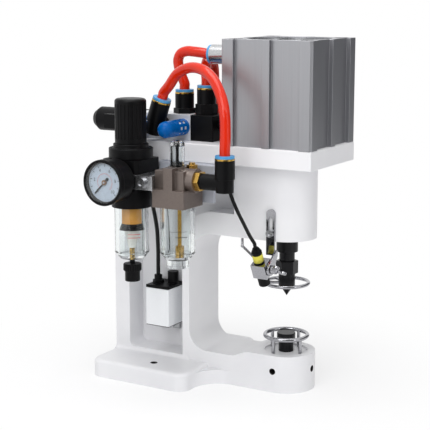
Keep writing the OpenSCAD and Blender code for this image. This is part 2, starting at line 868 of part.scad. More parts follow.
module top_plate() color(white) difference() {
    box(-plate_w / 2, -plate_w / 2, plate_z, plate_w / 2, plate_rear, plate_top);
    translate([0, 0, plate_z - cut]) cylinder(d = rod_hole_d, h = plate_t + 2 * cut);
    for (x = [-1, 1] * bolt_pitch / 2, y = [-1, 1] * bolt_pitch / 2)
        translate([x, y, plate_z - cut]) cylinder(d = cyl_bolt_d + 2 * run_fit, h = plate_t + 2 * cut);
    for (x = [-1, 1] * plate_screw_x, y = plate_screw_y) translate([x, y, 0]) {
        translate([0, 0, plate_z - cut]) cylinder(d = screw_d + 2 * run_fit, h = plate_t + 2 * cut);
        translate([0, 0, plate_top - screw_head_h - gap])
            cylinder(d = screw_head_d + 2 * gap, h = screw_head_h + gap + cut);
    }
    bracket_screw_places() translate([0, 0, -bracket_t])
        cylinder(d = screw_d + 2 * run_fit, h = bracket_t + bracket_screw_l + cut);
    valve_screw_places() translate([0, 0, -valve_h - valve_screw_in - cut])
        cylinder(d = valve_screw_d + 2 * run_fit, h = valve_screw_in + 2 * cut);
}

module bracket_screw_places() {
    for (y = [bracket_y0 + bracket_screw_end, bracket_y1 - bracket_screw_end])
        translate([bracket_screw_x, y, plate_z]) children();
}

module clamp_screw_place() {
    translate([frl_x - reg_w / 2 - clamp_plate_t - run_fit, (clamp_y0 + clamp_y1) / 2,
        clamp_z + clamp_h / 2])
        rotate([0, -90, 0]) children();
}

module cap_screws() color(steel) {
    for (x = [-1, 1] * plate_screw_x, y = plate_screw_y)
        translate([x, y, plate_top - screw_head_h - gap])
            socket_screw(screw_d, screw_head_d, screw_head_h, plate_t - screw_head_h + top_rib - gap);
    bracket_screw_places() translate([0, 0, -bracket_t]) rotate([180, 0, 0])
        socket_screw(screw_d, screw_head_d, screw_head_h, bracket_t + bracket_screw_l);
    clamp_screw_place() socket_screw(screw_d, screw_head_d, screw_head_h / 2,
        clamp_plate_t + reg_w + bracket_t);
    translate([bar_x - bar_t, bar_y, bar_screw_z]) rotate([0, -90, 0])
        socket_screw(bar_screw_d, small_head_d, small_head_h, bar_t + gap / 2 + bar_screw_in);
    translate([-web_t / 2 - foot_t, box_y + box_w / 2, box_z - foot_l / 2]) rotate([0, -90, 0])
        socket_screw(bar_screw_d, small_head_d, small_head_h, foot_t + web_t - cut);
    valve_screw_places()
        socket_screw(valve_screw_d, valve_screw_head, small_head_h, valve_h + valve_screw_in);
}

module barrel_profile() {
    half = cyl_w / 2;
    flat = half - corner_cut;
    reach = half - panel_edge - panel_rib / 2;
    difference() {
        polygon([[flat, half], [half, flat], [half, -flat], [flat, -half],
            [-flat, -half], [-half, -flat], [-half, flat], [-flat, half]]);
        for (a = [0, 90, 180, 270], s = [-1, 1]) rotate(a)
            translate([half - panel_depth, s > 0 ? panel_rib / 2 : -panel_rib / 2 - reach])
                square([panel_depth + cut, reach]);
        circle(d = bore);
        for (x = [-1, 1] * bolt_pitch / 2, y = [-1, 1] * bolt_pitch / 2)
            translate([x, y]) circle(d = cyl_bolt_d + 2 * run_fit);
    }
}

module port_place(x, z) {
    translate([x, cyl_w / 2, z]) rotate([-90, 0, 0]) children();
}

module port_pad(x, z) {
    box(x - pad_w / 2, cyl_w / 2 - panel_depth - cut, z - pad_w / 2,
        x + pad_w / 2, cyl_w / 2, min(z + pad_w / 2, cyl_top));
}

module cylinder_barrel() color(alloy) difference() {
    union() {
        translate([0, 0, plate_top]) linear_extrude(cyl_h) barrel_profile();
        for (p = barrel_ports) port_pad(p[0], p[1]);
    }
    for (z = [plate_top + clip_land, cyl_top - clip_land - clip_t])
        translate([0, 0, z]) cylinder(d = bore + 2 * clip_depth, h = clip_t);
    for (x = [-1, 1] * bolt_pitch / 2, y = [-1, 1] * bolt_pitch / 2)
        translate([x, y, cyl_top - bolt_head_h]) cylinder(d = bolt_head_d + 2 * gap, h = bolt_head_h + cut);
    for (p = barrel_ports) port_place(p[0], p[1]) {
        stub_hole();
        translate([0, 0, -cyl_w / 2]) cylinder(d = port_hole_d, h = cyl_w / 2);
    }
}

module cylinder_cover() color(black) translate([0, 0, chamber_top])
    cylinder(d = bore - 2 * run_fit, h = top_cover_t);

module rod_cover() color(alloy) difference() {
    translate([0, 0, rod_cover_z]) cylinder(d = bore - 2 * run_fit, h = rod_cover_t);
    translate([0, 0, rod_cover_z - cut]) cylinder(d = rod_d + 2 * run_fit, h = rod_cover_t + 2 * cut);
}

module retaining_rings() color(steel)
    for (z = [plate_top + clip_land, cyl_top - clip_land - clip_t]) translate([0, 0, z])
        difference() {
            cylinder(d = bore + 2 * clip_depth - 2 * run_fit, h = clip_t);
            translate([0, 0, -cut]) cylinder(d = bore - 2 * clip_w, h = clip_t + 2 * cut);
            translate([-clip_w, bore / 2 - 2 * clip_w, -cut])
                cube([2 * clip_w, 3 * clip_w, clip_t + 2 * cut]);
        }

module cylinder_bolts() color(black)
    for (x = [-1, 1] * bolt_pitch / 2, y = [-1, 1] * bolt_pitch / 2)
        translate([x, y, cyl_top - bolt_head_h])
            socket_screw(cyl_bolt_d, bolt_head_d, bolt_head_h - bolt_sunk,
                cyl_h - bolt_head_h + plate_t - bolt_short);

module piston() color(alloy) difference() {
    translate([0, 0, piston_z]) union() {
        cylinder(d = bore - 4 * run_fit, h = piston_t);
        translate([0, 0, -stop_h])
            cylinder(d = bore - 2 * relief_in, h = stop_h + piston_t + piston_relief);
    }
    translate([0, 0, piston_z + (piston_t - seal_h) / 2]) difference() {
        cylinder(d = bore + cut, h = seal_h);
        translate([0, 0, -cut]) cylinder(d = bore - 2 * seal_depth, h = seal_h + 2 * cut);
    }
    translate([0, 0, piston_z - cut])
        cylinder(d = rod_stud_d + 2 * run_fit, h = piston_t + piston_relief + 2 * cut);
    translate([0, 0, piston_z - stop_h - cut]) cylinder(d = rod_d + 2 * run_fit, h = stop_h + cut);
}

module piston_seal() color(black) translate([0, 0, piston_z + (piston_t - seal_h) / 2 + run_fit])
    difference() {
    cylinder(d = bore - 2 * run_fit, h = seal_h - 2 * run_fit);
    translate([0, 0, -cut]) cylinder(d = bore - 2 * seal_depth + 2 * run_fit, h = seal_h + 2 * cut);
}

module piston_rod() color(steel) {
    translate([0, 0, ram_top - rod_stud_l]) cylinder(d = rod_stud_d, h = rod_stud_l);
    translate([0, 0, ram_top]) cylinder(d = rod_d, h = piston_z - ram_top);
    translate([0, 0, piston_z]) cylinder(d = rod_stud_d, h = piston_t + piston_relief - cut);
}

module guide_bush() color(brass) difference() {
    translate([0, 0, head_z + cut]) cylinder(d = bush_d - 2 * run_fit, h = frame_h - head_z - ram_sunk);
    translate([0, 0, head_z]) cylinder(d = ram_d + 2 * run_fit, h = frame_h - head_z);
}

module ram() color(black) difference() {
    union() {
        translate([0, 0, nut_z - stud_in]) cylinder(d = stud_d, h = nut_h + stud_in + cut);
        translate([0, 0, neck_z]) cylinder(d = neck_d, h = neck_l + cut);
        translate([0, 0, ram_z]) cylinder(d = ram_d, h = ram_top - ram_z);
    }
    translate([0, 0, ram_top - rod_stud_l - gap])
        cylinder(d = rod_stud_d + 2 * run_fit, h = rod_stud_l + gap + cut);
}

module lock_nut() color(black) difference() {
    translate([0, 0, nut_z]) hexagon(nut_af, nut_h);
    translate([0, 0, nut_z - cut]) cylinder(d = stud_d + 2 * run_fit, h = nut_h + 2 * cut);
}

module spoke_places(z) {
    for (a = spoke_angles) translate([0, 0, z]) rotate(a) rotate([0, 90, 0]) children();
}

module upper_die() color(black) difference() {
    union() {
        translate([0, 0, die_z]) cylinder(d = die_d, h = die_l);
        translate([0, 0, die_z - tip_h]) cylinder(d1 = 0, d2 = tip_d, h = tip_h);
    }
    translate([0, 0, nut_z - stud_in - gap]) cylinder(d = stud_d + 2 * run_fit, h = stud_in + gap + cut);
    spoke_places(ring_z) translate([0, 0, die_d / 2 - spoke_in])
        cylinder(d = spoke_d + 2 * run_fit, h = spoke_in + cut);
}

module upper_guard_ring() color(steel) {
    translate([0, 0, ring_z]) torus(ring_r, ring_wire);
    spoke_places(ring_z) translate([0, 0, die_d / 2 - spoke_in + run_fit])
        cylinder(d = spoke_d, h = ring_r - die_d / 2 + spoke_in);
}

module lower_die() color(black) {
    translate([0, 0, seat_z - shank_l]) cylinder(d = shank_d, h = shank_l + cut);
    translate([0, 0, seat_z]) cylinder(d = low_die_d, h = seat_depth + low_die_h);
    translate([0, 0, low_arm_h + low_die_h - low_head_h]) cylinder(d = low_head_d, h = low_head_h);
}

module lower_guard_ring() color(steel) {
    translate([0, 0, low_arm_h + low_ring_h]) torus(low_ring_r, low_ring_wire);
    for (a = leg_angles) rotate(a) translate([leg_r, 0, seat_z])
        cylinder(d = leg_d, h = seat_depth + low_ring_h);
}

module set_screws() color(black) translate([0, 0, set_screw_z]) set_screw_places()
    translate([0, 0, shank_d / 2 + run_fit]) difference() {
        cylinder(d = set_screw_d, h = set_screw_l);
        translate([0, 0, set_screw_l / 2]) hexagon(set_screw_d / 2, set_screw_l);
    }

module air_unit_bracket() color([0.62, 0.65, 0.72]) difference() {
    union() {
        box(bracket_x, bracket_y0, bracket_z, bracket_x + bracket_t, bracket_y1, plate_z);
        box(bracket_x, bracket_y0, plate_z - bracket_t, bracket_tab_x, bracket_y1, plate_z);
    }
    bracket_screw_places() translate([0, 0, -bracket_t - cut])
        cylinder(d = screw_d + 2 * run_fit, h = bracket_t + 2 * cut);
    clamp_screw_place() translate([0, 0, -reg_w - clamp_plate_t - bracket_t - cut])
        cylinder(d = screw_d + 2 * run_fit, h = bracket_t + 2 * cut);
}

module module_clamp() color(steel) difference() {
    union() {
        box(frl_x - reg_w / 2 + cut, clamp_y0, clamp_z, bracket_x, clamp_y1, clamp_z + clamp_h);
        box(frl_x - reg_w / 2 - clamp_plate_t - run_fit, clamp_y0 - clamp_grip, clamp_z,
            frl_x - reg_w / 2 - run_fit, clamp_y1 + clamp_grip, clamp_z + clamp_h);
        box(frl_x - reg_w / 2 - run_fit - cut, clamp_y0 + gap, clamp_z, frl_x, clamp_y1 - gap,
            clamp_z + clamp_h);
    }
    clamp_screw_place() translate([0, 0, -reg_w - 2 * clamp_plate_t])
        cylinder(d = screw_d + 2 * run_fit, h = reg_w + 3 * clamp_plate_t);
}

module reg_place(z) {
    translate([frl_x, reg_y, z]) children();
}

module lub_place(z) {
    translate([frl_x, lub_y, z]) children();
}

module gauge_place(h) {
    translate([gauge_x - h, reg_y, gauge_z]) rotate([0, -90, 0]) children();
}

module regulator_body() color(black) difference() {
    union() {
        reg_place(reg_mid) linear_extrude(reg_top - reg_mid)
            round_rect(-reg_w / 2, -reg_w / 2, reg_w / 2, reg_w / 2, reg_r);
        reg_place(body_z) cylinder(d = reg_w - 2 * skirt_in, h = reg_mid - body_z + cut);
    }
    reg_place(body_z - cut) cylinder(d = bowl_neck_d + 2 * run_fit, h = neck_in + gap + cut);
    reg_place(reg_top - chamber_in) cylinder(d = chamber_d, h = chamber_in + cut);
    translate([frl_x, reg_y + reg_w / 2 - inlet_l, port_z]) rotate([-90, 0, 0])
        cylinder(r = inlet_r, h = inlet_l + cut);
    gauge_place(-gauge_off - gauge_stem_in - cut)
        cylinder(d = gauge_stem_d + 2 * run_fit, h = gauge_stem_in + 2 * cut);
}

module regulator_bonnet() color(black) difference() {
    union() {
        reg_place(reg_top) cylinder(d = bonnet_d, h = bonnet_h);
        reg_place(reg_top) cylinder(d = collar_d, h = knob_z - reg_top);
        reg_place(reg_top) cylinder(d = knob_d - 2 * knob_wall - 2 * gap,
            h = knob_z - reg_top + knob_h / 2);
    }
    reg_place(reg_top - cut) cylinder(d = chamber_d, h = bonnet_h + cut);
    reg_place(reg_top) cylinder(d = screw_m + 2 * run_fit, h = knob_h + bonnet_h);
}

module adjusting_screw() color(steel) {
    reg_place(reg_top - seat_in)
        cylinder(d = screw_m, h = knob_z + knob_h - 2 * knob_roof - reg_top + seat_in);
    reg_place(reg_top - seat_in) cylinder(d = chamber_d - 2 * seat_slack, h = seat_disc_t);
}

module regulator_knob() color(black) difference() {
    reg_place(knob_z + gap) rotate_extrude() difference() {
        union() {
            square([knob_d / 2 - knob_r, knob_h]);
            square([knob_d / 2, knob_h - knob_r]);
            translate([knob_d / 2 - knob_r, knob_h - knob_r]) circle(knob_r);
        }
        translate([-knob_d, -knob_d]) square([knob_d, 3 * knob_d]);
    }
    reg_place(knob_z) cylinder(d = knob_d - 2 * knob_wall, h = knob_h / 2 + cut + knob_lift);
    reg_place(knob_z) cylinder(d = screw_m + 2 * run_fit, h = knob_h - knob_roof);
    for (k = [0:flutes - 1]) reg_place(knob_z + flute_end) rotate(360 * k / flutes)
        translate([knob_d / 2 + flute_r - flute_depth, 0, 0])
            cylinder(r = flute_r, h = knob_h - 2 * flute_end);
}

module gauge_case() color(black) difference() {
    union() {
        gauge_place(0) cylinder(d = gauge_d - 2 * bezel_over, h = gauge_h);
        gauge_place(gauge_seat) cylinder(d = gauge_d, h = bezel_h);
        gauge_place(-gauge_off) hexagon(gauge_hex, gauge_off + cut);
        gauge_place(-gauge_off - gauge_stem_in) cylinder(d = gauge_stem_d, h = gauge_stem_in + cut);
    }
    gauge_place(gauge_seat) cylinder(d = dial_d + 2 * run_fit, h = gauge_h);
    gauge_place(gauge_h - lens_in) cylinder(d = lens_d + 2 * run_fit, h = gauge_h);
}

module gauge_dial() color("white") {
    gauge_place(gauge_seat) cylinder(d = dial_d, h = dial_t);
    gauge_place(gauge_seat) cylinder(d = needle_pin_d, h = pin_l);
}

module gauge_needle() color(black) difference() {
    union() {
        gauge_place(gauge_seat + needle_up) cylinder(d = needle_hub_d, h = needle_t);
        gauge_place(gauge_seat + needle_up) rotate(-needle_zero)
            translate([-dial_d / 2 + needle_end, -needle_w / 2, 0])
                cube([dial_d / 2 + needle_end, needle_w, needle_t / 2]);
    }
    gauge_place(gauge_seat) cylinder(d = needle_pin_d + 2 * run_fit, h = pin_l + cut);
}

module gauge_lens() color(clear) gauge_place(gauge_h - lens_in) cylinder(d = lens_d, h = lens_t);

module bowl_shell(top_z, floor_hole) {
    difference() {
        union() {
            translate([0, 0, top_z - bowl_h + bowl_foot]) cylinder(d = bowl_d, h = bowl_h - bowl_foot);
            translate([0, 0, top_z - bowl_h])
                cylinder(d1 = bowl_d - 2 * bowl_taper, d2 = bowl_d, h = bowl_foot);
            translate([0, 0, top_z - cut]) cylinder(d = bowl_neck_d, h = neck_in + cut);
        }
        translate([0, 0, top_z - bowl_h + bowl_floor]) cylinder(d = bowl_id, h = bowl_h + neck_in);
        if (floor_hole > 0)
            translate([0, 0, top_z - bowl_h - cut]) cylinder(d = floor_hole, h = bowl_floor + 2 * cut);
    }
}

module filter_bowl() color(clear) reg_place(0) bowl_shell(body_z, stem_d + 2 * run_fit);

module filter_element() color([0.88, 0.62, 0.26]) difference() {
    reg_place(baffle_z + baffle_h)
        cylinder(d = element_d, h = body_z + neck_in + gap - baffle_z - baffle_h);
    reg_place(baffle_z + baffle_h - cut)
        cylinder(d = element_d - 2 * element_wall, h = body_z + neck_in - baffle_z);
}

module filter_baffle() color(black) {
    reg_place(baffle_z) cylinder(d1 = bowl_id - 2 * baffle_gap, d2 = element_d, h = baffle_h);
    reg_place(baffle_z - cone_l)
        cylinder(d1 = stem_d + 2 * cone_lip, d2 = element_d - 2 * cone_in, h = cone_l + cut);
}

module drain_knob() color(black) {
    reg_place(bowl_z - drain_drop - cut)
        cylinder(d = stem_d, h = baffle_z - cone_l - gap - bowl_z + drain_drop + cut);
    reg_place(bowl_z - drain_drop - drain_top_h) cylinder(d = drain_top_d, h = drain_top_h);
    reg_place(bowl_z - drain_drop - drain_top_h - drain_end_h)
        cylinder(d = drain_end_d, h = drain_end_h + cut);
}

module lubricator_body() color(bronze) difference() {
    union() {
        lub_place(0) box(-lub_d / 2, -lub_w / 2, lub_z, lub_d / 2, lub_w / 2, lub_mid);
        lub_place(0) box(-lub_d / 2 + lub_front_step, -lub_w / 2 + lub_side_step, lub_mid - cut,
            lub_d / 2, lub_w / 2, lub_top);
        lub_place(0) box(-lub_d / 2, -lub_rib_w / 2, lub_mid - cut, 0, lub_rib_w / 2, dome_z);
        lub_place(lub_top - cut) cylinder(d = dome_d + 2 * dome_flange, h = lub_rib_h + cut);
        translate([frl_x, nipple_y, port_z]) rotate([-90, 0, 0])
            cylinder(d = lub_boss_d, h = lub_boss_l + lub_thread_l + cut);
    }
    lub_place(lub_z - cut) cylinder(d = bowl_neck_d + 2 * run_fit, h = neck_in + gap + cut);
    translate([frl_x, nipple_y - cut, port_z]) rotate([-90, 0, 0])
        cylinder(d = thread_d + 2 * run_fit, h = lub_thread_l + cut);
    lub_place(lub_top - cut) cylinder(d = oil_hole_d, h = lub_rib_h + 2 * cut);
    filler_place() translate([0, 0, -filler_in]) cylinder(d = filler_d + 2 * run_fit, h = filler_in + cut);
}

module filler_place() {
    translate([frl_x + filler_x, lub_y - lub_w / 2 + filler_y, lub_top]) children();
}

module sight_dome() color(clear) difference() {
    lub_place(dome_z) rotate_extrude() difference() {
        union() {
            square([dome_d / 2 - dome_r, dome_h]);
            square([dome_d / 2, dome_h - dome_r]);
            translate([dome_d / 2 - dome_r, dome_h - dome_r]) circle(dome_r);
        }
        translate([-dome_d, -dome_d]) square([dome_d, 4 * dome_d]);
    }
    lub_place(dome_z - cut) cylinder(d = dome_d - 2 * bowl_wall, h = dome_h - dome_roof + cut);
    lub_place(dome_z) cylinder(d = oil_head_d + 2 * run_fit, h = dome_h + cut);
}

module oil_screw() color(black) difference() {
    union() {
        lub_place(dome_z + oil_needle_up) cylinder(d = oil_needle_d, h = dome_h - oil_needle_up);
        lub_place(dome_z + dome_h - dome_roof) cylinder(d = oil_head_d, h = dome_roof);
    }
    lub_place(dome_z + dome_h - oil_slot) translate([-oil_head_d, -oil_slot / 2, 0])
        cube([2 * oil_head_d, oil_slot, oil_slot + cut]);
}

module filler_plug() color(brass) {
    filler_place() translate([0, 0, -filler_in + gap]) cylinder(d = filler_d, h = filler_in);
    filler_place() hexagon(filler_hex, filler_hex_h);
    filler_place() cylinder(d = filler_d, h = 1.5 * filler_hex_h);
}

module lubricator_bowl() color(clear) lub_place(0) {
    bowl_shell(lub_z, 0);
    translate([0, 0, lub_z - bowl_h - boss_h]) cylinder(d = bowl_d - 2 * boss_in, h = boss_h + cut);
}

module siphon_tube() color(brass) {
    lub_place(lub_z - bowl_h + bowl_floor + gap) translate(siphon_at) cylinder(d = sinter_d, h = sinter_h);
    lub_place(lub_z - bowl_h + sinter_h) translate(siphon_at)
        cylinder(d = siphon_d, h = bowl_h - sinter_h + neck_in + gap);
}

module outlet_nipple() color(brass) {
    translate([frl_x, nipple_y - nipple_t, port_z]) rotate([-90, 0, 0]) hexagon(nipple_hex, nipple_t);
    translate([frl_x, nipple_y - nipple_t - nipple_l, port_z]) rotate([-90, 0, 0])
        cylinder(d = nipple_d, h = nipple_l + cut);
    translate([frl_x, nipple_y - cut, port_z]) rotate([-90, 0, 0])
        cylinder(d = thread_d, h = nipple_l + cut);
}

// An elbow whose knee is at the origin, with its push-in leg up and its other leg along +Y
module elbow(leg, stub, top) {
    difference() {
        union() {
            translate([0, 0, -fit_d / 2 + knee_in]) cylinder(d = fit_d - 2 * knee_in, h = fit_d);
            translate([0, 0, knee_up]) cylinder(d = fit_d, h = top - knee_up);
            rotate([-90, 0, 0]) cylinder(d = leg_fit_d, h = leg);
            if (stub > 0) rotate([-90, 0, 0]) cylinder(d = thread_d, h = leg + stub);
        }
        push_bore(top);
        cylinder(d = air_hole_d, h = top);
        rotate([-90, 0, 0]) cylinder(d = air_hole_d, h = leg + stub + cut);
        if (stub == 0) translate([0, leg - nipple_l - gap, 0]) rotate([-90, 0, 0])
            cylinder(d = nipple_d + 2 * run_fit, h = nipple_l + gap + cut);
    }
}

module push_bore(top) {
    translate([0, 0, top - tube_in]) cylinder(d = tube_d + 4 * run_fit, h = tube_in + cut);
    translate([0, 0, top - sleeve_l - gap])
        cylinder(d = tube_d + 2 * sleeve_wall + 4 * run_fit, h = sleeve_l + gap + cut);
}

// A straight fitting that stands on its hexagon
module straight(hex_h) {
    difference() {
        union() {
            translate([0, 0, -stub_l]) cylinder(d = thread_d, h = stub_l + cut);
            hexagon(fit_hex, hex_h);
            translate([0, 0, hex_h]) cylinder(d = fit_d, h = straight_body);
        }
        push_bore(hex_h + straight_body);
        translate([0, 0, -stub_l - cut]) cylinder(d = air_hole_d, h = hex_h + straight_body + stub_l);
    }
}

// The release collar that stands on a fitting of the given height
module collar(top) {
    difference() {
        union() {
            translate([0, 0, top]) cylinder(d = fit_d - 2 * collar_in, h = collar_t);
            translate([0, 0, top - sleeve_l]) cylinder(d = tube_d + 2 * sleeve_wall, h = sleeve_l + cut);
        }
        translate([0, 0, top - sleeve_l - cut])
            cylinder(d = tube_d + 4 * run_fit, h = sleeve_l + collar_t + 2 * cut);
    }
}

module outlet_elbow_place() {
    translate([frl_x, outlet_y, port_z]) children();
}

module inlet_elbow_place() {
    translate(inlet_knee) rotate([inlet_tilt, 0, 0]) rotate(-90) children();
}

module top_port_place(i) {
    translate([top_port_x, top_port_y[i], valve_top]) children();
}

module elbow_fittings() color(black) {
    outlet_elbow_place() elbow(nipple_y - nipple_t - outlet_y, 0, outlet_top);
    inlet_elbow_place() elbow(valve_x0 - inlet_knee_x, stub_l, push_top);
}

module straight_fittings() color(black) {
    for (i = [0, 1]) top_port_place(i) straight(top_port_hex[i]);
    for (p = barrel_ports) port_place(p[0], p[1]) straight(hex_high);
}

module release_collars() color(blue) {
    outlet_elbow_place() collar(outlet_top);
    inlet_elbow_place() collar(push_top);
    for (i = [0, 1]) top_port_place(i) collar(top_port_hex[i] + straight_body);
    for (p = barrel_ports) port_place(p[0], p[1]) collar(hex_high + straight_body);
}

module side_port_place(k) {
    translate([valve_x0, inlet_y + k * port_pitch, valve_cz - abs(k) * silencer_low])
        rotate([0, -90, 0]) children();
}

module spool_bore(y0, l) {
    translate([valve_cx, y0, spool_cz]) rotate([-90, 0, 0]) cylinder(d = spool_d + 2 * run_fit, h = l);
}

module stub_hole() {
    translate([0, 0, -stub_l - gap]) cylinder(d = thread_d + 2 * run_fit, h = stub_l + gap + cut);
}

module valve_screw_places() {
    for (y = valve_screw_y) translate([valve_x1 - valve_screw_end, y, valve_top]) children();
}

module valve_body() color([0.82, 0.83, 0.85]) difference() {
    box(valve_x0, valve_y, plate_top, valve_x1, pilot_y, valve_top);
    spool_bore(valve_y - cut, valve_l + 2 * cut);
    for (k = [-1, 1]) side_port_place(k) translate([0, 0, -silencer_in - gap])
        cylinder(d = silencer_thread + 2 * run_fit, h = silencer_in + gap + cut);
    side_port_place(0) stub_hole();
    top_port_place(0) stub_hole();
    valve_screw_places() translate([0, 0, -valve_h - cut])
        cylinder(d = valve_screw_d + 2 * run_fit, h = valve_h + 2 * cut);
}

module valve_end_cap() color(black) difference() {
    union() {
        box(valve_x0, cap_y, plate_top, valve_x1, valve_y, valve_top);
        translate([valve_cx, cap_y - plug_l, valve_cz]) rotate([-90, 0, 0])
            cylinder(d = plug_d, h = plug_l + cut);
    }
    spool_bore(valve_y - 2 * spool_travel, 2 * spool_travel + cut);
    top_port_place(1) stub_hole();
}

module valve_spool() color(steel) difference() {
    translate([valve_cx, spool_y, spool_cz]) rotate([-90, 0, 0]) cylinder(d = spool_d, h = spool_l);
    for (y = [0.2, 0.5, 0.8] * spool_l)
        translate([valve_cx, spool_y + y - land_gap / 2, spool_cz]) rotate([-90, 0, 0])
        difference() {
            cylinder(d = spool_d + cut, h = land_gap);
            translate([0, 0, -cut]) cylinder(d = spool_d - 2 * land_depth, h = land_gap + 2 * cut);
        }
}

module button_place() {
    translate([valve_cx, pilot_y + pilot_l / 2, valve_top]) children();
}

module valve_coil() color(black) difference() {
    union() {
        box(valve_x0, pilot_y, plate_top, valve_x1, coil_y, valve_top);
        translate([valve_cx, coil_y - cut, coil_cz]) rotate([-90, 0, 0])
            cylinder(d = coil_d, h = coil_l - coil_end + cut);
        translate([valve_cx, coil_y + coil_l - coil_end - run_fit, coil_cz]) rotate([-90, 0, 0])
            cylinder(d1 = coil_d, d2 = coil_d - 2 * coil_taper, h = coil_end + run_fit);
        translate([valve_x0 - coil_plug_out, coil_plug_y, coil_cz - coil_plug[2] / 2])
            cube([coil_plug[0] + coil_d / 4, coil_plug[1], coil_plug[2]]);
    }
    button_place() translate([0, 0, -button_in]) cylinder(d = button_d + 2 * run_fit, h = button_in + cut);
}

module override_button() color(blue) button_place()
    translate([0, 0, -button_in + button_travel + gap])
        cylinder(d = button_d, h = button_in - button_travel - gap + button_up);

module silencer() {
    difference() {
        union() {
            translate([0, 0, -silencer_in]) cylinder(d = silencer_thread, h = silencer_in + cut);
            cylinder(d = silencer_d, h = silencer_l - silencer_d / 2);
            translate([0, 0, silencer_l - silencer_d / 2]) sphere(d = silencer_d);
        }
        for (k = [0:slots - 1], z = [1, 2.75] * slot_end) rotate(360 * k / slots)
            translate([silencer_d / 2 - slot_depth, -vent_w / 2, z]) cube([2 * slot_depth, vent_w, vent_l]);
    }
}

module silencers() color(blue) for (k = [-1, 1]) side_port_place(k) silencer();

module supply_tube() color(tube_red) sweep(supply_route, tube_d, 12, 2);

module advance_tube() color(tube_red) sweep(advance_route, tube_d, 12, 2);

module return_tube() color(tube_red) sweep(return_route, tube_d, 12, 2);

module junction_box() color(white) {
    difference() {
        box(box_x, box_y, box_z, box_x + box_d, box_y + box_w, box_z + box_h);
        box(box_x + box_wall, box_y + box_wall, box_z + box_wall,
            box_x + box_d - box_wall, box_y + box_w - box_wall, box_z + box_h + cut);
    }
    difference() {
        box(-web_t / 2 - foot_t, box_y + foot_in, box_z - foot_l, -web_t / 2, box_y + box_w - foot_in,
            box_z + cut);
        translate([-web_t / 2 - foot_t - cut, box_y + box_w / 2, box_z - foot_l / 2]) rotate([0, 90, 0])
            cylinder(d = bar_screw_d + 2 * run_fit, h = foot_t + 2 * cut);
    }
}

module box_lid() color(black) {
    lid_z = box_z + box_h;
    box(box_x, box_y, lid_z, box_x + box_d, box_y + box_w, lid_z + lid_t);
    translate([gland_at[0], gland_at[1], lid_z]) cylinder(d = gland_d, h = lid_t + gland_l);
    translate([gland_at[0], gland_at[1], lid_z]) hexagon(gland_hex, lid_t + gland_hex_h);
    translate([socket_at[0], socket_at[1], lid_z]) cylinder(d = socket_d, h = lid_t + socket_h);
}

module coil_cable() color(black) sweep(coil_route, coil_cable_d, 8, 1);

module lamp_bar() color(steel) difference() {
    union() {
        from_side(bar_x - bar_t, bar_t) {
            translate([bar_y - bar_w / 2, head_z - bar_low])
                square([bar_w, bar_top + bar_low - bar_w / 2]);
            translate([bar_y, head_z + bar_top - bar_w / 2]) circle(d = bar_w);
            translate([tab_y, head_z - bend_low]) square([bar_w + bar_step, bend_h]);
        }
        translate([pivot_x, tab_y + bar_t, pivot_z]) rotate([90, 0, 0]) cylinder(r = tab_r, h = bar_t);
        translate([0, tab_y + bar_t, 0]) rotate([90, 0, 0]) linear_extrude(bar_t)
            polygon([[bar_x, head_z - bend_low], [bar_x, head_z - bend_low + bend_h],
                [bar_x - bar_t, head_z - bend_low + bend_h],
                [pivot_x - tab_r * 0.6, pivot_z + tab_r * 0.8], [pivot_x + tab_r * 0.6,
                    pivot_z - tab_r * 0.8]]);
    }
    slot_l = bar_travel + cut;
    translate([bar_x - bar_t - cut, bar_y, bar_screw_z]) rotate([0, 90, 0]) {
        cylinder(d = slot_w, h = bar_t + 2 * cut);
        translate([-slot_l, 0, 0]) cylinder(d = slot_w, h = bar_t + 2 * cut);
        translate([-slot_l, -slot_w / 2, 0]) cube([slot_l, slot_w, bar_t + 2 * cut]);
    }
    translate([pivot_x, tab_y + bar_t + cut, pivot_z]) rotate([90, 0, 0])
        cylinder(d = wing_d + 2 * run_fit, h = bar_t + 2 * cut);
}

module wing_screw() color(steel) {
    translate([pivot_x, tab_y - gap, pivot_z]) rotate([90, 0, 0]) {
        translate([0, 0, -bar_t - 2 * gap - wing_in])
            cylinder(d = wing_d, h = bar_t + 2 * gap + wing_in + cut);
        cylinder(d = wing_hub_d, h = wing_hub_h);
    }
    for (a = [wing_angle, wing_angle + 180]) translate([pivot_x, tab_y - gap - cut, pivot_z])
        rotate([90, a, 0])
        from_wing();
}

// One ear of the wing screw, a flat plate that leans outwards
module from_wing() {
    rotate([90, 0, 0]) translate([0, 0, -wing_plate / 2]) linear_extrude(wing_plate) {
        polygon(ear);
        translate(ear_tip) circle(ear_r);
    }
}

module lamp_frame() {
    translate([pivot_x, lamp_y, pivot_z]) rotate([0, -lamp_lean, 0]) children();
}

module lamp_clamp() color(steel) {
    difference() {
        lamp_frame() translate([-lamp_block[0] / 2, clamp_gap_y - lamp_y, -block_low])
            cube([lamp_block[0], clamp_rear - clamp_gap_y, lamp_block[1]]);
        lamp_frame() translate([0, 0, -block_low - cut])
            cylinder(d = lamp_d + 2 * run_fit, h = lamp_block[1] + 2 * cut);
        translate([pivot_x, clamp_gap_y + wing_in + gap, pivot_z]) rotate([90, 0, 0])
            cylinder(d = wing_d + 2 * run_fit, h = wing_in + gap + cut);
    }
    rod_between(rod_foot, rod_bend, rod_wire);
    translate(rod_bend) sphere(d = rod_wire + 2 * gap);
    rod_between(rod_bend, rod_top, rod_wire);
}

module lamp_body() color(black) lamp_frame() {
    translate([0, 0, -lamp_down]) cylinder(d = lamp_d, h = lamp_down + lamp_up - lamp_end_l);
    translate([0, 0, lamp_up - lamp_end_l - run_fit])
        cylinder(d1 = lamp_d, d2 = lamp_d - 2 * lamp_end_in, h = lamp_end_l + run_fit);
    translate([0, 0, -lamp_down]) cylinder(d = lamp_d + 2 * nose_over, h = lamp_down - block_low - gap);
}

